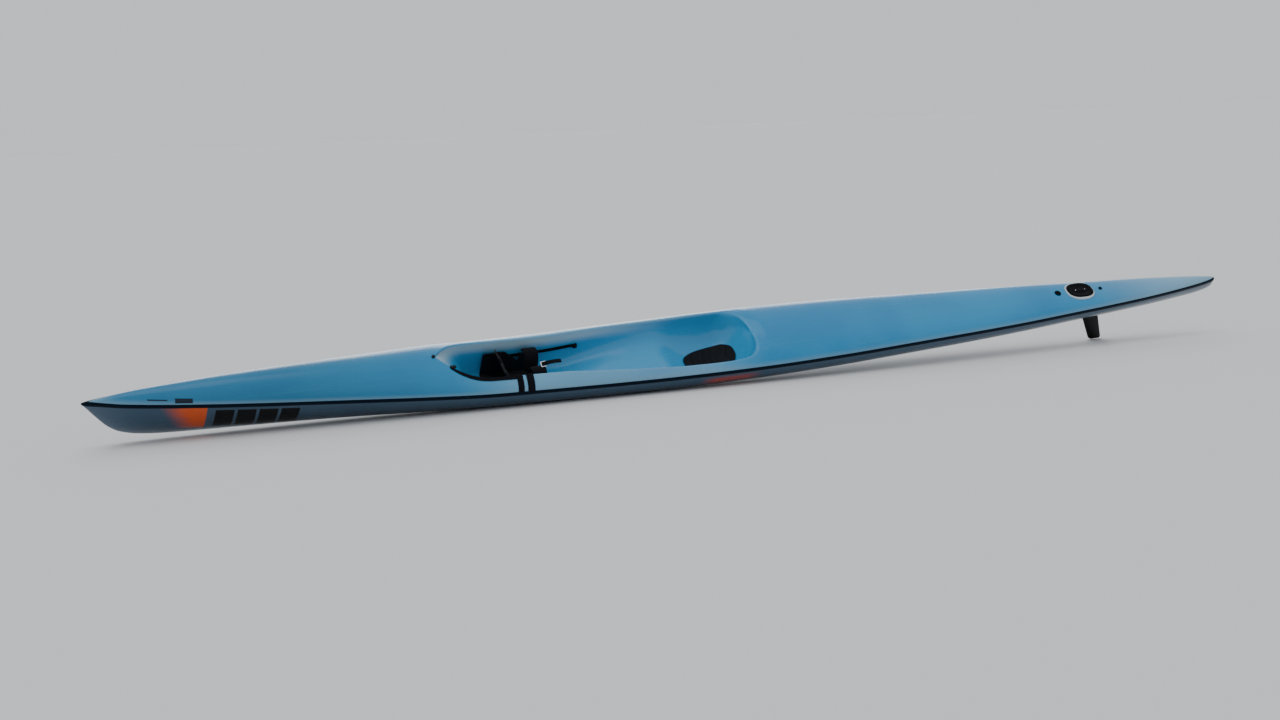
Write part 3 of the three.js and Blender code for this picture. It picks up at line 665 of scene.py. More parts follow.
def seam_paint():
    finish = Finish("seam_paint", Specular_IOR_Level=0.07)
    place = finish.where()
    cloud = finish.cloud(place, 8.0, 4.0)
    chips = finish.ramp(finish.cloud(finish.stretched(place, (14.0, 60.0, 60.0)), 1.0, 4.0, 0.7), 0.66, 0.72)
    weave = finish.cloud(place, 900.0, 1.0)
    colour = finish.tinted(cloud, rgb(1, 14, 28), rgb(5, 23, 38))
    colour = finish.tinted(chips * 0.35, colour, rgb(76, 96, 110))
    return finish.coat(colour, 0.38 + cloud * 0.2, weave * 0.5 - chips, 0.0003)


SEAM_FINISH = seam_paint()
for side, word in SIDES:
    lay(
        f"seam_tape_{word}", seam_band(side), SEAM_FINISH,
        stands_for=[f"seam_band_{word}"],
        facing=(0, side, 0),
    )

# Seat pad. A thermoformed pad of black closed-cell foam, 12 mm thick with a rolled hem, glued in the bucket.
# Grooves across it let water run to the sides.
PAD = (0.151, -0.032, -0.115, 0.088)  # front, widest place, back, half width
PAD_ROWS = 90
PAD_COLUMNS = 60
PAD_THICK = 0.012
PAD_HEM = 0.010  # width of the rolled hem
GROOVE = (0.034, 0.0030, 0.0032)  # step between the grooves, their depth and half width


def pad_half(x):
    front, widest, back, half = PAD
    if x > widest:
        return half * max(0.0, 1 - ((x - widest) / (front - widest)) ** 2.0) ** (1 / 2.3)
    return half * max(0.0, 1 - ((widest - x) / (widest - back)) ** 2.4) ** (1 / 2.1)


def seat_pad():
    top, foot = [], []
    front, _, back, _ = PAD
    step, deep, wide = GROOVE
    for r in range(PAD_ROWS + 1):
        x = (front + back) / 2 + (front - back) / 2 * math.cos(math.pi * r / PAD_ROWS)
        half = pad_half(x)
        upper, lower = [], []
        for c in range(PAD_COLUMNS + 1):
            y = half * math.sin(math.pi * (c / PAD_COLUMNS - 0.5))
            near = [max(1e-6, v) for v in (half - abs(y), 0.9 * (front - x), 0.9 * (x - back))]
            inset = sum(v ** -2 for v in near) ** -0.5  # to the outline, near enough
            share = min(1.0, max(0.0, inset) / PAD_HEM)
            rise = PAD_THICK * math.sqrt(max(0.0, 1 - (1 - share) ** 2))
            off = (x + 0.30 * abs(y) + 0.02) % step - step / 2  # the grooves run back towards the sides
            rise -= deep * math.exp(-(off / wide) ** 2) * min(1.0, inset / 0.02)
            base = tub_z(x, y) + 0.0005
            upper.append((x, y, base + rise))
            lower.append((x, y, base))
        top.append(upper)
        foot.append(lower)
    points, faces = netted([u + list(reversed(l)) for u, l in zip(top, foot)], closed=True)
    return meshed(points, faces, merge=2e-5)


def seat_foam():
    finish = Finish("seat_foam", Specular_IOR_Level=0.2)
    place = finish.where()
    cells = finish.add("ShaderNodeTexVoronoi", {"feature": "F1"}, {"Vector": place, "Scale": 420.0})
    rubbed = finish.ramp(finish.cloud(place, 14.0, 4.0), 0.5, 0.75)
    colour = finish.tinted(rubbed * 0.5, rgb(8, 9, 13), rgb(32, 34, 41))
    sand = finish.ramp(finish.cloud(place, 260.0, 2.0), 0.68, 0.74) * rubbed
    colour = finish.tinted(sand * 0.4, colour, rgb(120, 106, 86))
    return finish.coat(colour, 0.62 + rubbed * 0.2, cells * -0.6 + sand, 0.0006)


pad = lay("seat_cushion", seat_pad(), seat_foam(), stands_for=["seat_pad"], sharp=60)

# Foot rest. Two black anodised rails are screwed to the footwell's walls. A moulded carriage of two cheeks
# slides on them, and carries the foot board and, on a steel rod above it, the two steering pedals.
RAIL = (1.180, 0.700, 0.141, 0.014, 0.008)  # front, back, height, width, thickness
RAIL_STEPS = 32
RAIL_SCREWS = (0.715, 0.80, 0.90, 0.985)
STOP = (0.702, 0.724)  # back and front of the block at each rail's back end
CHEEK = (1.003, 1.204, 0.068, 0.190, 1.095, 0.108)  # back, front, foot, top, shoulder, tail
ARM = (0.952, 0.058, 0.166)  # of each cheek, back to the strap: its end, foot and top
FLANGE = (0.070, 0.0035)  # along each cheek's foot: its inner edge and thickness
FLANGE_STEPS = 40
SHOE = (1.100, 1.160)  # back and front of the block that slides on the rail
CHEEK_INNER = 0.0944
CHEEK_THICK = 0.006
BOARD_X, BOARD_Z = 1.076, 0.084  # the foot of the board's back face
BOARD_LENGTH, BOARD_THICK, BOARD_HALF = 0.088, 0.008, 0.094
BOARD_TILT = math.radians(28)
HINGE_UP = 0.108  # the pedals' rod, up along the board
LUG = 0.007  # width of the three lugs that hold the rod
CHAMFER = 0.0008
PEDAL_SPAN = (0.011, 0.086)
PEDAL_TOP = 0.168


def joined(*parts):
    """One mesh of several."""
    whole = bmesh.new()
    for part in parts:
        held = bpy.data.meshes.new("held")
        part.to_mesh(held)
        part.free()
        whole.from_mesh(held)
        bpy.data.meshes.remove(held)
    return whole


def bevelled(made, width, angle=30):
    """Breaks each edge that is sharper than the angle."""
    edges = [e for e in made.edges if len(e.link_faces) == 2 and e.calc_face_angle(0) > math.radians(angle)]
    bmesh.ops.bevel(made, geom=edges, offset=width, segments=2, affect="EDGES", clamp_overlap=True)
    return made


def prism(outline, spot):
    """A solid between two copies of an outline: spot(point, 0) and spot(point, 1)."""
    count = len(outline)
    points = [spot(p, 0) for p in outline] + [spot(p, 1) for p in outline]
    faces = [(i, (i + 1) % count, count + (i + 1) % count, count + i) for i in range(count)]
    faces += [tuple(reversed(range(count))), tuple(range(count, 2 * count))]
    return meshed(points, faces)


def bar(x0, x1, y0, y1, z0, z1, round_by=CHAMFER):
    """A block with broken edges."""
    corners = [(x0, z0), (x1, z0), (x1, z1), (x0, z1)]
    return bevelled(prism(corners, lambda p, k: (p[0], (y0, y1)[k], p[1])), round_by)


def turned(profile, x, y=0.0, steps=64):
    """A body of revolution about an upright axis. The profile is a list of (radius, height)."""
    rings = []
    for i in range(steps):
        a = 2 * math.pi * i / steps
        rings.append([(x + r * math.cos(a), y + r * math.sin(a), z) for r, z in profile])
    rings.append(rings[0])
    return meshed(*netted(rings))


def turned_across(profile, x, z, steps):
    """A body of revolution about an axis across the boat. The profile is a list of (radius, y)."""
    rings = []
    for i in range(steps + 1):
        a = 2 * math.pi * i / steps
        rings.append([(x + r * math.cos(a), y, z + r * math.sin(a)) for r, y in profile])
    return meshed(*netted(rings))


def shaft(radius, x, z, y0, y1):
    """A round bar across the boat with chamfered ends."""
    small = radius - CHAMFER
    profile = [(0.0, y0), (small, y0), (radius, y0 + CHAMFER)]
    profile += [(radius, y1 - CHAMFER), (small, y1), (0.0, y1)]
    return turned_across(profile, x, z, 28)


def screw(x, y, z, side):
    """A pan head on a wall beside the footwell."""
    radius = 0.0035
    profile = [(0.0, 0.0016), (radius * 0.6, 0.0015), (radius * 0.9, 0.0010), (radius, 0.0), (0.0, 0.0)]
    return turned_across([(r, y - side * height) for r, height in profile], x, z, 16)


def on_board(up, ahead):
    """A point's x and z from how far it lies up the sloping foot board and ahead of its back face."""
    x = BOARD_X + up * math.sin(BOARD_TILT) + ahead * math.cos(BOARD_TILT)
    return x, BOARD_Z + up * math.cos(BOARD_TILT) - ahead * math.sin(BOARD_TILT)


def slab(up0, up1, ahead0, ahead1, y0, y1, round_by=0.0012):
    """A block with broken edges that slopes with the foot board."""
    corners = [(up0, ahead0), (up0, ahead1), (up1, ahead1), (up1, ahead0)]

    def spot(p, k):
        x, z = on_board(*p)
        return x, (y0, y1)[k], z

    return bevelled(prism(corners, spot), round_by)


def nylon():
    finish = Finish("nylon", Specular_IOR_Level=0.22)
    place = finish.where()
    grain = finish.cloud(place, 700.0, 2.0)
    cloud = finish.cloud(place, 9.0, 4.0)
    scuffs = finish.ramp(finish.cloud(finish.stretched(place, (60.0, 60.0, 200.0)), 1.0, 3.0), 0.60, 0.72)
    colour = finish.tinted(cloud, rgb(8, 9, 12), rgb(22, 23, 27))
    colour = finish.tinted(scuffs * 0.25, colour, rgb(52, 56, 60))
    return finish.coat(colour, 0.48 + cloud * 0.2 + scuffs * 0.1, grain * 0.5 - scuffs * 0.4, 0.0002)


def anodised():
    finish = Finish("anodised", Metallic=0.85)
    place = finish.where()
    lines = finish.cloud(finish.stretched(place, (12.0, 900.0, 900.0)), 1.0, 2.0)
    worn = finish.ramp(finish.cloud(place, 40.0, 4.0), 0.62, 0.72)
    colour = finish.tinted(worn * 0.35, rgb(10, 11, 14), rgb(84, 88, 92))
    return finish.coat(colour, 0.32 + lines * 0.15, lines, 0.0001)


def steel():
    finish = Finish("steel", Metallic=1.0)
    place = finish.where()
    lines = finish.cloud(finish.stretched(place, (900.0, 30.0, 900.0)), 1.0, 2.0)
    salt = finish.ramp(finish.cloud(place, 120.0, 4.0), 0.62, 0.72)
    colour = finish.tinted(lines, rgb(176, 178, 180), rgb(206, 208, 210))
    colour = finish.tinted(salt * 0.4, colour, rgb(140, 118, 96))
    return finish.coat(colour, 0.24 + lines * 0.12 + salt * 0.3, lines, 0.0001)


NYLON = nylon()
ANODISED = anodised()
STEEL = steel()


def rail_inner(x):
    return tub_y(x, RAIL[2] - RAIL[3] / 2) - 0.0014 - RAIL[4]


def rail(side):
    """A track with a groove along its inner face, and its screws."""
    front, back, height, width, _ = RAIL
    low, high = height - width / 2, height + width / 2
    rings = []
    for i in range(RAIL_STEPS + 1):
        x = front + (back - front) * i / RAIL_STEPS
        wall = min(tub_y(x, low), tub_y(x, high)) - 0.0008
        face = rail_inner(x)
        section = [
            (wall, low), (wall, high), (face + 0.0012, high - 0.0006), (face, high - 0.0020),
            (face, height + 0.0022), (face + 0.0028, height + 0.0022),
            (face + 0.0028, height - 0.0022), (face, height - 0.0022),
            (face, low + 0.0020), (face + 0.0012, low + 0.0006),
        ]
        rings.append([(x, side * y, z) for y, z in section])
    heads = [screw(x, side * (rail_inner(x) + 0.0030), height, side) for x in RAIL_SCREWS]
    return joined(meshed(*capped(rings)), *heads)


def rounded(outline, radius):
    """An outline with its corners turned into arcs, near enough."""
    steps = 5
    made = []
    for i, corner in enumerate(outline):
        before, after = Vector(outline[i - 1]), Vector(outline[(i + 1) % len(outline)])
        corner = Vector(corner)
        a = corner + (before - corner).normalized() * min(radius, (before - corner).length * 0.45)
        b = corner + (after - corner).normalized() * min(radius, (after - corner).length * 0.45)
        for k in range(steps + 1):
            t = k / steps
            made.append(tuple(a * (1 - t) ** 2 + corner * 2 * t * (1 - t) + b * t * t))
    return made


def cheek(side):
    """One side of the carriage: a ribbed plate with its shoe on the rail, a lock, an arm and a flange."""
    back, front, foot, top, shoulder, tail = CHEEK
    inner, outer = CHEEK_INNER, CHEEK_INNER + CHEEK_THICK
    height = RAIL[2]

    def across(y0, y1):
        """The two ends of something that runs across the boat, with the lower one first."""
        return sorted((side * y0, side * y1))

    def upright(outline, y0, y1, round_by):
        solid = prism(outline, lambda p, k: (p[0], side * (y0, y1)[k], p[1]))
        return bevelled(solid, round_by, angle=50)

    outline = rounded([(back, foot), (front, foot), (front, top), (shoulder, top), (back, tail)], 0.012)
    plate = upright(outline, inner, outer, 0.0012)
    rib_across = across(inner - 0.0016, inner + 0.001)
    ribs = [bar(x - 0.002, x + 0.002, *rib_across, 0.082, 0.178) for x in (1.135, 1.152, 1.169, 1.186)]
    reach = min(rail_inner(SHOE[0]), rail_inner(SHOE[1])) - 0.0004
    shoe = bar(*SHOE, *across(outer - 0.001, reach), height - 0.009, height + 0.009)
    lock = shaft(0.0105, 1.120, height + 0.028, *across(inner - 0.004, inner + 0.001))
    end, low, high = ARM
    outline = rounded([(end, low), (back + 0.012, low), (back + 0.012, high), (end, high)], 0.010)
    arm = upright(outline, inner + 0.0006, inner + 0.0054, 0.0010)
    flange_edge, thick = FLANGE
    rings = []
    for i in range(FLANGE_STEPS + 1):
        x = (front + end) / 2 - (front - end) / 2 * math.cos(math.pi * i / FLANGE_STEPS)
        corner = 1 - min(1.0, (x - end) / 0.016, (front - x) / 0.016)
        cut = 1 - math.sqrt(max(0.0, 1 - corner ** 2))  # rounds the flange's two ends
        edge = flange_edge + (inner - 0.006 - flange_edge) * cut
        under = [(edge, tub_z(x, edge) + 0.001), (inner + thick, tub_z(x, inner + thick) + 0.001)]
        over = [(inner + thick, foot + 0.006), (inner, foot + 0.006), (inner, tub_z(x, inner) + thick)]
        ring = under + over + [(edge, under[0][1] + thick)]
        rings.append([(x, side * y, z) for y, z in ring])
    flange = bevelled(meshed(*capped(rings)), 0.0006, angle=50)
    return joined(plate, shoe, lock, arm, flange, *ribs)


def foot_board():
    length, thick, half = BOARD_LENGTH, BOARD_THICK, BOARD_HALF
    parts = [slab(0, length, 0, thick, -half, half, 0.002)]
    for y0, y1 in ((-half + 0.004, -RIDGE_HALF - 0.008), (RIDGE_HALF + 0.008, half - 0.004)):
        parts.append(slab(-0.024, 0.004, 0.002, 0.006, y0, y1, 0.001))  # skirt on each side of the ridge
    for k in range(9):
        up = 0.010 + k * 0.0085
        parts.append(slab(up, up + 0.003, -0.0012, 0.001, -half + 0.012, half - 0.012, 0.0006))  # tread
    for y0, y1 in [(-half, -half + LUG), (-LUG / 2, LUG / 2), (half - LUG, half)]:
        parts.append(slab(length - 0.010, HINGE_UP + 0.009, -0.004, thick + 0.004, y0, y1))
    for side in (-1, 1):
        y = side * (half - LUG / 2)
        parts.append(slab(length - 0.030, HINGE_UP + 0.022, -0.006, thick + 0.010, y - LUG / 2, y + LUG / 2))
    for y in (-0.060, -0.028, 0.028, 0.060):
        parts.append(slab(0.006, length - 0.006, thick - 0.001, thick + 0.006, y - 0.002, y + 0.002))  # rib
    return joined(*parts)


HINGE_X, HINGE_Z = on_board(HINGE_UP, BOARD_THICK / 2)


def pedal(side):
    y0, y1 = sorted((side * PEDAL_SPAN[0], side * PEDAL_SPAN[1]))
    lip = [(HINGE_UP + 0.004, y0), (HINGE_UP + 0.004, y1), (PEDAL_TOP, y1), (PEDAL_TOP, y0)]
    outline = rounded(lip, 0.012)

    def spot(p, k):
        x, z = on_board(p[0], (0.001, 0.007)[k])
        return x, p[1], z

    parts = [bevelled(prism(outline, spot), 0.0010, angle=50)]
    for k in range(5):
        up = HINGE_UP + 0.014 + k * 0.009
        parts.append(slab(up, up + 0.003, -0.0002, 0.0015, y0 + 0.009, y1 - 0.009, 0.0005))
    parts.append(shaft(0.008, HINGE_X, HINGE_Z, y0, y1))
    return joined(*parts)


for side, word in SIDES:
    lay(f"rail_track_{word}", rail(side), ANODISED, stands_for=[f"footrest_rail_{word}"])
    lay(f"carriage_cheek_{word}", cheek(side), NYLON, stands_for=[f"footrest_cheek_{word}"])
    reach = rail_inner(sum(STOP) / 2) - 0.0004
    ends = sorted((side * (reach - 0.0096), side * reach))
    stop = bar(*STOP, *ends, RAIL[2] - 0.010, RAIL[2] + 0.010, 0.003)
    lay(f"rail_end_{word}", stop, NYLON, stands_for=[f"rail_stop_{word}"])
    node = f"pedal_{word}"
    lay(f"pedal_plate_{word}", pedal(side), NYLON, body=node, stands_for=[node])
lay("board_moulding", foot_board(), NYLON, stands_for=["foot_board"])
rod = shaft(0.004, HINGE_X, HINGE_Z, -BOARD_HALF, BOARD_HALF)
lay("hinge_rod", rod, STEEL, stands_for=["pedal_hinge_rod"])

# Straps. Black nylon webbing, 2.4 mm thick: one over both insteps with a bright buckle, two that leave the
# footwell over the port side deck, and one along the cockpit's port edge, back from a toggle near the eye
# that a leash is tied to.
WEB = 0.0024
STRAP_SPAN = (0.956, 0.994)  # back and front of the instep strap
STRAP_ARCH = [(0.096, 0.182), (0.084, 0.203), (0.060, 0.208), (0.034, 0.190), (0.017, 0.140)]  # over one foot
SLEEVE_PATH = [
    (0.093, 0.188), (0.085, 0.2035), (0.060, 0.2095), (0.036, 0.193), (0.022, 0.158), (0.0165, 0.124),
]
SLEEVE_HALF, SLEEVE_THICK = 0.036, 0.011
SLEEVE_POINTS = 28  # round it
TAILS = [("fore", 1.092, 1.122), ("aft", 1.038, 1.074)]
EDGE_STRAP = (1.435, 1.108)  # its front and back
EDGE_STEPS = 60


def smoothed(path, steps=8):
    """A curve through a list of points, with more of them."""
    made = []
    for i in range(len(path) - 1):
        p0, p1 = Vector(path[max(i - 1, 0)]), Vector(path[i])
        p2, p3 = Vector(path[i + 1]), Vector(path[min(i + 2, len(path) - 1)])
        for k in range(steps):
            t = k / steps
            a = p1 * 2 + (p2 - p0) * t
            b = (p0 * 2 - p1 * 5 + p2 * 4 - p3) * t * t
            c = (p1 * 3 - p0 - p2 * 3 + p3) * t ** 3
            made.append((a + b + c) / 2)
    return made + [Vector(path[-1])]


def webbing_strip(centre, across, thick=WEB, columns=8):
    """A strap along a path. across(i) is half its width, as a vector, at each point of the path."""
    rings = []
    for i, p in enumerate(centre):
        along = (centre[min(i + 1, len(centre) - 1)] - centre[max(i - 1, 0)]).normalized()
        half = across(i).length
        side = across(i).normalized()
        up = side.cross(along).normalized()
        ring = []
        shares = [2 * k / columns - 1 for k in range(columns + 1)]
        for face, row in [(1, shares), (-1, reversed(shares))]:
            for share in row:
                edge = 1 - 0.5 * abs(share) ** 8  # thinner at the two edges
                ring.append(tuple(p + side * half * share + up * face * thick / 2 * edge))
        rings.append(ring)
    return meshed(*capped(rings))


WEAVE = 2600.0  # how closely the webbing is woven: radians to the metre


def webbing():
    finish = Finish("webbing", Sheen_Weight=0.03, Specular_IOR_Level=0.08)
    place = finish.where()
    x, y, z = finish.split(place)
    slant = y.size() + z * 0.6
    rib = ((x + slant) * WEAVE).wave()
    weft = ((x - slant) * WEAVE).wave()
    fuzz = finish.cloud(place, 1500.0, 2.0)
    weave = rib * 0.5 + weft * 0.5 + fuzz * 0.6
    faded = finish.cloud(place, 22.0, 4.0)
    colour = finish.tinted(faded, rgb(4, 5, 9), rgb(14, 15, 21))
    colour = finish.tinted(finish.ramp(weave, 0.5, 1.3) * 0.3, colour, rgb(46, 48, 56))
    return finish.coat(colour, 0.82, weave, 0.0004)


def foot_strap():
    back, front = STRAP_SPAN
    edge = rail_inner(front) - 0.0004
    ridge = max(tub_z(front, 0), tub_z(1.05, 0)) + WEB
    port = [(edge, RAIL[2]), (edge - 0.004, 0.160), *STRAP_ARCH, (0.010, ridge + 0.006)]
    path = port + [(0.0, ridge)] + [(-y, z) for y, z in reversed(port)]
    centre = smoothed([((back + front) / 2, y, z) for y, z in path], 6)
    reach = Vector(((front - back) / 2, 0, 0))
    return webbing_strip(centre, lambda i: reach, columns=10)


def instep_sleeve(side):
    """The padded sleeve on the strap over one instep."""
    centre = smoothed([(0.980, side * y, z) for y, z in SLEEVE_PATH], 8)
    ahead = Vector((1, 0, 0))
    rings = []
    last = len(centre) - 1
    for i, p in enumerate(centre):
        along = (centre[min(i + 1, last)] - centre[max(i - 1, 0)]).normalized()
        up = ahead.cross(along).normalized()
        swell = math.sin(math.pi * (0.08 + 0.84 * i / last)) ** 0.35
        ring = []
        for k in range(SLEEVE_POINTS):
            a = 2 * math.pi * k / SLEEVE_POINTS
            c, s = math.cos(a), math.sin(a)
            wide = math.copysign(abs(c) ** 0.6, c) * SLEEVE_HALF * (0.9 + 0.1 * swell)
            high = math.copysign(abs(s) ** 0.7, s) * SLEEVE_THICK / 2 * swell
            ring.append(tuple(p + ahead * wide + up * high))
        rings.append(ring)
    return meshed(*capped(rings))


def strap_tail(x0, x1):
    """From inside the footwell, over the rounded rim and down the side deck to the seam."""
    middle = (x0 + x1) / 2
    half, _, _, _, edge = cockpit_at(middle)
    beam, _, seam, *_ = body_at(middle)
    lift = 0.0034
    path = [(half - 0.0030, 0.205), (half - lift, 0.225), (half - lift, edge - EDGE_ROUND - 0.003)]
    rim = half + EDGE_ROUND
    away = EDGE_ROUND + lift
    for turn in (25, 50, 72):
        a = math.radians(turn)
        path.append((rim - away * math.cos(a), edge - EDGE_ROUND * 1.05 + away * math.sin(a)))
    for share in (0.06, 0.18, 0.34, 0.5, 0.66, 0.82, 0.95):
        y = rim + (beam - rim) * share
        path.append((y, deck_z(middle, y) + lift - 0.0012 * share))
    path.append((beam + 0.0026, seam + 0.010))
    centre = smoothed([(middle, y, z) for y, z in path], 6)
    reach = Vector(((x1 - x0) / 2, 0, 0))
    return webbing_strip(centre, lambda i: reach)


def edge_strap():
    centre, sides = [], []
    front, back = EDGE_STRAP
    for i in range(EDGE_STEPS + 1):
        x = front + (back - front) * i / EDGE_STEPS
        half = cockpit_at(x)[0]
        inner, outer = half + 0.006, half + 0.023
        a = Vector((x, inner, deck_z(x, inner) + 0.0016))
        b = Vector((x, outer, deck_z(x, outer) + 0.0016))
        centre.append((a + b) / 2)
        sides.append((b - a) / 2)
    return webbing_strip(centre, lambda i: sides[i])


WEBBING = webbing()
lay("instep_strap", foot_strap(), WEBBING, stands_for=["foot_strap"])
for side, word in SIDES:
    sleeve = lay(f"instep_sleeve_{word}", instep_sleeve(side), WEBBING, sharp=60)
for word, x0, x1 in TAILS:
    lay(f"side_strap_{word}", strap_tail(x0, x1), WEBBING, stands_for=[f"strap_tail_{word}"])
lay("rim_strap", edge_strap(), WEBBING, stands_for=["edge_strap"])
toggle_foot = deck_z(1.42, 0.066) - 0.001
toggle = bar(1.408, 1.438, 0.058, 0.075, toggle_foot, toggle_foot + 0.008, 0.0025)
lay("strap_toggle", toggle, NYLON)
BUCKLE = (0.953, 0.049, 0.2215)  # middle of the buckle, on the sleeve's back edge
BUCKLE_BARS = [
    # back, front, starboard, port of each bar in the buckle's own plane
    (-0.0130, -0.0095, -0.0150, 0.0150),
    (0.0095, 0.0130, -0.0150, 0.0150),
    (-0.0020, 0.0020, -0.0130, 0.0130),
    (-0.0115, 0.0115, -0.0150, -0.0112),
    (-0.0115, 0.0115, 0.0112, 0.0150),
]
FREE_END = [(0.007, -0.004), (0.003, 0.0030), (-0.003, 0.0036), (-0.011, 0.0042), (-0.020, 0.0052)]
FREE_END += [(-0.038, 0.0060), (-0.064, 0.0035), (-0.088, -0.0030)]  # ahead of the buckle, over it
tilted = Matrix.Rotation(math.radians(-14), 4, "X") @ Matrix.Rotation(math.radians(10), 4, "Y")
tilted = Matrix.Translation(BUCKLE) @ tilted
tail = [tilted @ Vector(p) for p in smoothed([(ahead, 0.0, over) for ahead, over in FREE_END], 6)]
across = tilted.to_3x3() @ Vector((0, 0.0105, 0))
lay("strap_free_end", webbing_strip(tail, lambda i: across, thick=0.0020), WEBBING)
buckle = joined(*[bar(*sides, -0.0016, 0.0016) for sides in BUCKLE_BARS])
bmesh.ops.transform(buckle, matrix=tilted, verts=buckle.verts)
lay("strap_buckle", buckle, STEEL)
EYE_X = 1.5
EYE_PROFILE = [
    # radius, height
    (0.0, 0.0), (0.009, 0.0), (0.0088, 0.003), (0.006, 0.0045), (0.0045, 0.006),
    (0.0045, 0.008), (0.0062, 0.0095), (0.0062, 0.0105), (0.0045, 0.0112), (0.0, 0.0112),
]
eye_foot = deck_z(EYE_X, 0) - 0.001
eye = turned([(radius, eye_foot + height) for radius, height in EYE_PROFILE], EYE_X)
lay("leash_button", eye, NYLON, stands_for=["leash_eye"])

# Bailer. A black moulded self-bailer let into the footwell's floor and flush with the keel. It is a frame
# round a slot, with a flap in it: the flow under the boat sucks water out past the flap.


def framed(back, front, half, width, z0, z1, turn):
    """A flat frame with round corners. Its sides are as wide as width."""
    outlines = []
    for inset in (0.0, width):
        x0, x1, y = back + inset, front - inset, half - inset
        outlines.append(rounded([(x0, -y), (x1, -y), (x1, y), (x0, y)], turn))
    rings = [[(*a, z0), (*a, z1), (*b, z1), (*b, z0)] for a, b in zip(*outlines)]
    return bevelled(meshed(*netted(rings + rings[:1], closed=True)), 0.0007, angle=50)


def bailer():
    back, front, half = BAILER
    lip = 0.004
    parts = [
        framed(back, front, half, 0.007, 0.0025, 0.0070, 0.0015),
        framed(back + 0.001, front - 0.001, half - 0.001, 0.003, 0.0040, 0.0440, 0.0015),
        framed(back - lip, front + lip, half + lip, 0.011, 0.0400, 0.0450, 0.006),
    ]
    corners = [(back + 0.006, 0.0045), (front - 0.006, 0.030), (front - 0.006, 0.033), (back + 0.006, 0.0075)]
    y0, y1 = -half + 0.005, half - 0.005
    parts.append(bevelled(prism(corners, lambda p, k: (p[0], (y0, y1)[k], p[1])), 0.0006))
    head = [(0.0, 0.0462), (0.0020, 0.0460), (0.0027, 0.0448), (0.0, 0.0448)]
    parts += [turned(head, x, steps=20) for x in (back + 0.002, front - 0.002)]
    return joined(*parts)


lay("bailer_moulding", bailer(), NYLON, stands_for=["bailer_frame"])

# Stern hatch. A pale moulded rim is bonded round an oval hole in the rear deck. A black lid with a plug skirt
# presses into it, and lifts off by hand to reach the tiller in the well below.
WELL_X = WELL[0]
WELL_FLOOR = 0.076
RIM_FOOT, RIM_TOP = 0.193, 0.211
RIM_INNER = (0.068, 0.046)  # half length and half width of the rim's hole
RIM_OUTER = (0.086, 0.062)
LID_TOP = RIM_TOP + 0.0040  # the lid's sunk middle, for what lies on it


def oval_body(profile):
    """A ring-shaped or closed oval body. The profile is a list of (half length, half width, height)."""
    steps = 96
    rings = []
    for i in range(steps + 1):
        a = 2 * math.pi * i / steps
        c, s = [math.copysign(abs(f(a)) ** (2 / OVAL_POWER), f(a)) for f in (math.cos, math.sin)]
        rings.append([(WELL_X + rx * c, ry * s, z) for rx, ry, z in profile])
    return meshed(*netted(rings))


def hatch_rim():
    (inner_x, inner_y), (outer_x, outer_y) = RIM_INNER, RIM_OUTER
    outer_round, inner_round = 0.004, 0.002
    profile = [(outer_x, outer_y, RIM_FOOT)]
    for i in range(7):
        a = math.pi / 2 * i / 6
        out, up = outer_round * math.cos(a) - outer_round, outer_round * math.sin(a) - outer_round
        profile.append((outer_x + out, outer_y + out, RIM_TOP + up))
    for i in range(5):
        a = math.pi / 2 * (1 + i / 4)
        out, up = inner_round * math.cos(a) + inner_round, inner_round * math.sin(a) - inner_round
        profile.append((inner_x + out, inner_y + out, RIM_TOP + up))
    profile += [(inner_x, inner_y, RIM_FOOT), (outer_x, outer_y, RIM_FOOT)]
    return oval_body(profile)


def well_liner():
    x, y = RIM_INNER
    return oval_body([
        (0.0802, 0.0562, 0.1945),
        (x + 0.0002, y + 0.0002, 0.1945),
        (x, y, 0.190),
        (x, y, WELL_FLOOR + 0.008),
        (x - 0.002, y - 0.002, WELL_FLOOR + 0.002),
        (x - 0.008, y - 0.008, WELL_FLOOR),
        (0.0, 0.0, WELL_FLOOR),
    ])


LID_PROFILE = [
    # half length, half width, height over the rim: the sunk middle, the rolled edge and the plug skirt
    (0.0, 0.0, 0.0038), (0.050, 0.028, 0.0036), (0.054, 0.032, 0.0032),
    (0.0565, 0.0345, 0.0046), (0.072, 0.0475, 0.0052), (0.077, 0.0520, 0.0046),
    (0.079, 0.0540, 0.0030), (0.079, 0.0540, 0.0010), (0.0782, 0.0532, 0.0004),
    (0.066, 0.044, 0.0004), (0.0658, 0.0438, -0.0091), (0.063, 0.041, -0.0096), (0.0, 0.0, -0.0096),
]
GRIP_PATH = [(-0.034, -0.0006), (-0.028, 0.0006), (0.0, 0.0010), (0.028, 0.0006), (0.034, -0.0006)]
RIVET_PROFILE = [(0.0, 0.0), (0.0036, 0.0), (0.0036, 0.0010), (0.0022, 0.0020), (0.0, 0.0022)]


def hatch_lid():
    return oval_body([(x, y, RIM_TOP + height) for x, y, height in LID_PROFILE])


def lid_grip():
    centre = smoothed([(WELL_X + ahead, 0.0, LID_TOP + height) for ahead, height in GRIP_PATH], 6)
    return webbing_strip(centre, lambda i: Vector((0, 0.010, 0)), thick=0.0018)


def lid_rivets():
    profile = [(radius, LID_TOP + height) for radius, height in RIVET_PROFILE]
    return joined(*[turned(profile, WELL_X + side * 0.029, steps=24) for side in (-1, 1)])


def rim_plastic():
    finish = Finish("rim_plastic", Specular_IOR_Level=0.5)
    place = finish.where()
    grain = finish.cloud(place, 500.0, 2.0)
    grime = finish.ramp(finish.cloud(place, 30.0, 4.0), 0.5, 0.75)
    colour = finish.tinted(grime * 0.5, rgb(198, 208, 212), rgb(140, 146, 144))
    return finish.coat(colour, 0.34 + grime * 0.25, grain, 0.0002)


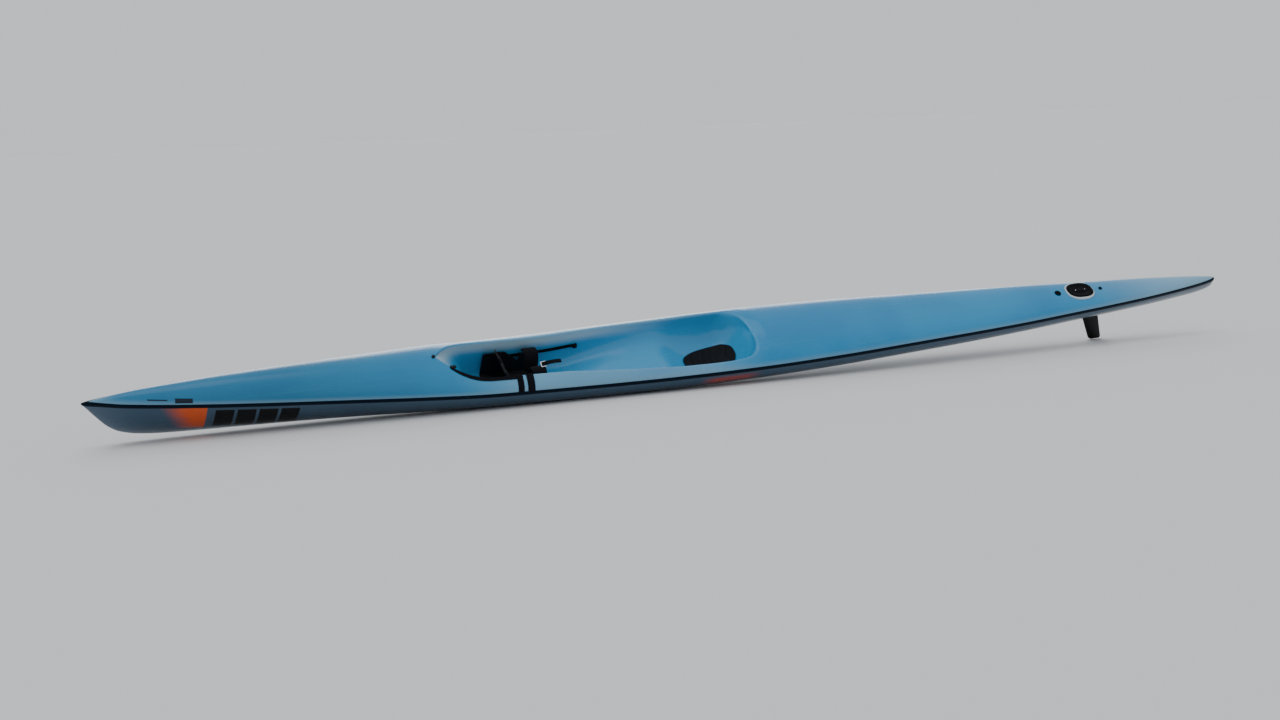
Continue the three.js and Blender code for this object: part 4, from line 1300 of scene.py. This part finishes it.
def rubber():
    finish = Finish("rubber", Specular_IOR_Level=0.07)
    place = finish.where()
    grain = finish.cloud(place, 900.0, 2.0)
    dust = finish.ramp(finish.cloud(place, 26.0, 4.0), 0.48, 0.8)
    colour = finish.tinted(dust * 0.2, rgb(1, 2, 6), rgb(22, 23, 27))
    return finish.coat(colour, 0.5 + dust * 0.25, grain, 0.0003)


RUBBER = rubber()
LINER_MARKS = {"over_seam": over_seam, "tub_depth": lambda point: 0.2}  # coloured as the cockpit's floor, with the painted light inside the cockpit
lay("well_liner", well_liner(), DECK_FINISH, marks=LINER_MARKS)
lay("hatch_ring", hatch_rim(), rim_plastic(), stands_for=["hatch_rim"])
lay("hatch_cover", hatch_lid(), RUBBER, body="hatch", stands_for=["hatch_lid"])
lay("hatch_grip", lid_grip(), WEBBING, body="hatch")
lay("hatch_rivets", lid_rivets(), STEEL, body="hatch")

# Plugs. A round vent plug ahead of the hatch and a small drain plug behind it, both black rubber with a
# knurled edge, screwed into bushes in the deck.
KNURLS = 24


def plug(x, radius):
    foot = deck_z(x, radius) - 0.0005
    top = deck_z(x, 0) + 0.005
    cap = turned([
        (0.0, foot),
        (radius * 0.9, foot),
        (radius, foot + 0.001),
        (radius, top - 0.0016),
        (radius * 0.93, top - 0.0004),
        (radius * 0.8, top),
        (radius * 0.62, top),
        (radius * 0.56, top - 0.0012),
        (0.0, top - 0.0012),
    ], x, steps=96)
    for v in cap.verts:
        if math.hypot(v.co.x - x, v.co.y) > radius * 0.97:
            turn = math.atan2(v.co.y, v.co.x - x)
            by = 1 - 0.03 * (0.5 + 0.5 * math.cos(KNURLS * turn))
            v.co.x, v.co.y = x + (v.co.x - x) * by, v.co.y * by
    long, wide = radius * 0.5, radius * 0.09
    grip = bar(x - long, x + long, -wide, wide, top - 0.002, top + 0.0002, 0.0004)
    return joined(cap, grip)


for name, x, radius in [("vent_plug", -2.034, 0.018), ("stern_plug", -2.312, 0.010)]:
    lay(f"{name}_cap", plug(x, radius), RUBBER, stands_for=[name])

# Rudder. A black glass-fibre blade under the stern, swept back, moulded round a steel stock that turns in a
# nylon bearing through the hull. The tiller is a short aluminium bar clamped to the stock's top.
BLADE_TOP, BLADE_TIP = 0.027, -0.180
BLADE_FRONT = (-2.260, -2.392)  # its front edge at the top and at the tip
BLADE_BACK = (-2.368, -2.474)
BLADE_THICK = (0.011, 0.006)
BLADE_ROWS = 40
BLADE_POINTS = 24  # along each face
FOIL = (2.969, -1.26, -3.516, 2.843, -1.036)  # a symmetrical wing section's thickness, by powers of the chord


def mix(a, b, t):
    return a + (b - a) * t


def blade():
    rings = []
    for r in range(BLADE_ROWS + 1):
        t = 1 - (1 - r / BLADE_ROWS) ** 1.4  # rows lie closer towards the tip
        end = max(0.0, (t - 0.9) / 0.1)  # over the last tenth, where the tip is rounded
        front = mix(*BLADE_FRONT, t) - 0.014 * end ** 2
        back = mix(*BLADE_BACK, t) + 0.008 * end ** 2
        thick = mix(*BLADE_THICK, t) * math.sqrt(max(0.02, 1 - end ** 2 * 0.9))
        z = mix(BLADE_TOP, BLADE_TIP, t)
        ring = []
        for k in range(2 * BLADE_POINTS):
            a = math.pi * k / BLADE_POINTS
            u = (1 - math.cos(a)) / 2
            powers = (math.sqrt(u), u, u ** 2, u ** 3, u ** 4)
            foil = sum(factor * power for factor, power in zip(FOIL, powers))
            side = 1 if k <= BLADE_POINTS else -1
            ring.append((front + (back - front) * u, side * thick * max(foil, 0.0) * 0.5, z))
        rings.append(ring)
    return meshed(*capped(rings))


def blade_gloss():
    finish = Finish("blade_gloss", Specular_IOR_Level=0.1, Coat_Roughness=0.15)
    place = finish.where()
    chips = finish.ramp(finish.cloud(finish.stretched(place, (60.0, 60.0, 90.0)), 1.0, 5.0, 0.7), 0.62, 0.68)
    _, _, z = finish.split(place)
    near_tip = 1 - finish.ramp(z, BLADE_TIP, -0.10)
    cloud = finish.cloud(place, 12.0, 4.0)
    colour = finish.tinted(cloud, rgb(2, 2, 4), rgb(8, 8, 11))
    colour = finish.tinted(chips * (0.1 + near_tip * 0.5), colour, rgb(92, 92, 90))
    sand = finish.ramp(finish.cloud(place, 240.0, 2.0), 0.62, 0.70) * near_tip
    colour = finish.tinted(sand * 0.7, colour, rgb(160, 140, 112))
    rough = 0.28 + chips * 0.3 + near_tip * 0.2 + sand * 0.2
    return finish.coat(colour, rough, sand - chips * 0.5, 0.0005, coat_weight=0.12 - near_tip * 0.1)


def aluminium():
    finish = Finish("aluminium", Metallic=1.0)
    place = finish.where()
    lines = finish.cloud(finish.stretched(place, (900.0, 40.0, 900.0)), 1.0, 2.0)
    salt = finish.ramp(finish.cloud(place, 160.0, 4.0), 0.6, 0.72)
    colour = finish.tinted(salt * 0.6, rgb(182, 184, 186), rgb(214, 214, 210))
    return finish.coat(colour, 0.36 + lines * 0.1 + salt * 0.3, lines + salt, 0.0002)


# Each turned part about the stock is a list of (radius, height).
BORE = 0.0054
BEARING_PROFILE = [
    (BORE, 0.0325), (0.0128, 0.0325), (0.0135, 0.0335), (0.0135, 0.0353), (0.0128, 0.0361),
    (0.0100, 0.0365), (0.0100, 0.0785), (0.0092, 0.080), (BORE, 0.080), (BORE, 0.0325),
]
STOCK_PROFILE = [(0.0, 0.0274), (0.005, 0.0274), (0.005, 0.0950), (0.0042, 0.0960), (0.0, 0.0960)]
HUB_PROFILE = [
    (BORE, 0.083), (0.0100, 0.083), (0.0105, 0.0835), (0.0105, 0.0925), (0.0100, 0.093), (BORE, 0.093),
    (BORE, 0.083),
]
PIN_PROFILE = [(0.0, 0.0905), (0.0028, 0.0905), (0.0030, 0.0925), (0.0022, 0.0932), (0.0, 0.0932)]


def tiller():
    arm = bar(STOCK_X - 0.007, STOCK_X + 0.007, -0.025, 0.025, 0.084, 0.091, 0.0015)
    pins = [turned(PIN_PROFILE, STOCK_X, side * 0.019, steps=20) for side in (-1, 1)]
    return joined(arm, turned(HUB_PROFILE, STOCK_X), *pins)


bearing = turned(BEARING_PROFILE, STOCK_X)
stock = turned(STOCK_PROFILE, STOCK_X, steps=40)
lay("bearing_tube", bearing, NYLON, stands_for=["rudder_bearing"])
lay("stock_shaft", stock, STEEL, body="rudder", stands_for=["rudder_stock"])
lay("tiller_bar", tiller(), aluminium(), body="rudder", stands_for=["tiller"])
lay("blade_moulding", blade(), blade_gloss(), body="rudder", stands_for=["rudder_blade"])

# Studio. A plain pale floor that runs to the horizon, an even pale surround, and two broad soft lights: one
# from above and one low from the boat's far side.
REACH = 400.0
LAMPS = [
    # name, where it shines from, how wide it is in degrees, strength
    ("overhead", (0.6, 0.5, 2.0), 60, 0.7),
    ("far_side", (-0.6, -1.5, 0.8), 35, 0.6),
]
low = min(0.0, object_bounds()[0].z)
corners = [(x * REACH, y * REACH, low) for x, y in ((-1, -1), (1, -1), (1, 1), (-1, 1))]
paper = Finish("paper", Roughness=0.95, Specular_IOR_Level=0.1, Base_Color=rgb(221, 220, 219))
floor_mesh = bpy.data.meshes.new("floor")
floor_mesh.from_pydata(corners, [], [(0, 1, 2, 3)])
floor = bpy.data.objects.new("floor", floor_mesh)
bpy.context.scene.collection.objects.link(floor)
floor_mesh.materials.append(paper.material)

surround = bpy.data.worlds.new("surround")
surround.use_nodes = True
background = surround.node_tree.nodes["Background"]
background.inputs["Color"].default_value = (0.90, 0.94, 1.0, 1.0)
background.inputs["Strength"].default_value = 0.8
bpy.context.scene.world = surround
for name, spot, spread, power in LAMPS:
    lamp = bpy.data.lights.new(name, "SUN")
    lamp.angle = math.radians(spread)
    lamp.energy = power
    light = bpy.data.objects.new(name, lamp)
    light.rotation_euler = (-Vector(spot)).to_track_quat("-Z", "Y").to_euler()
    bpy.context.scene.collection.objects.link(light)
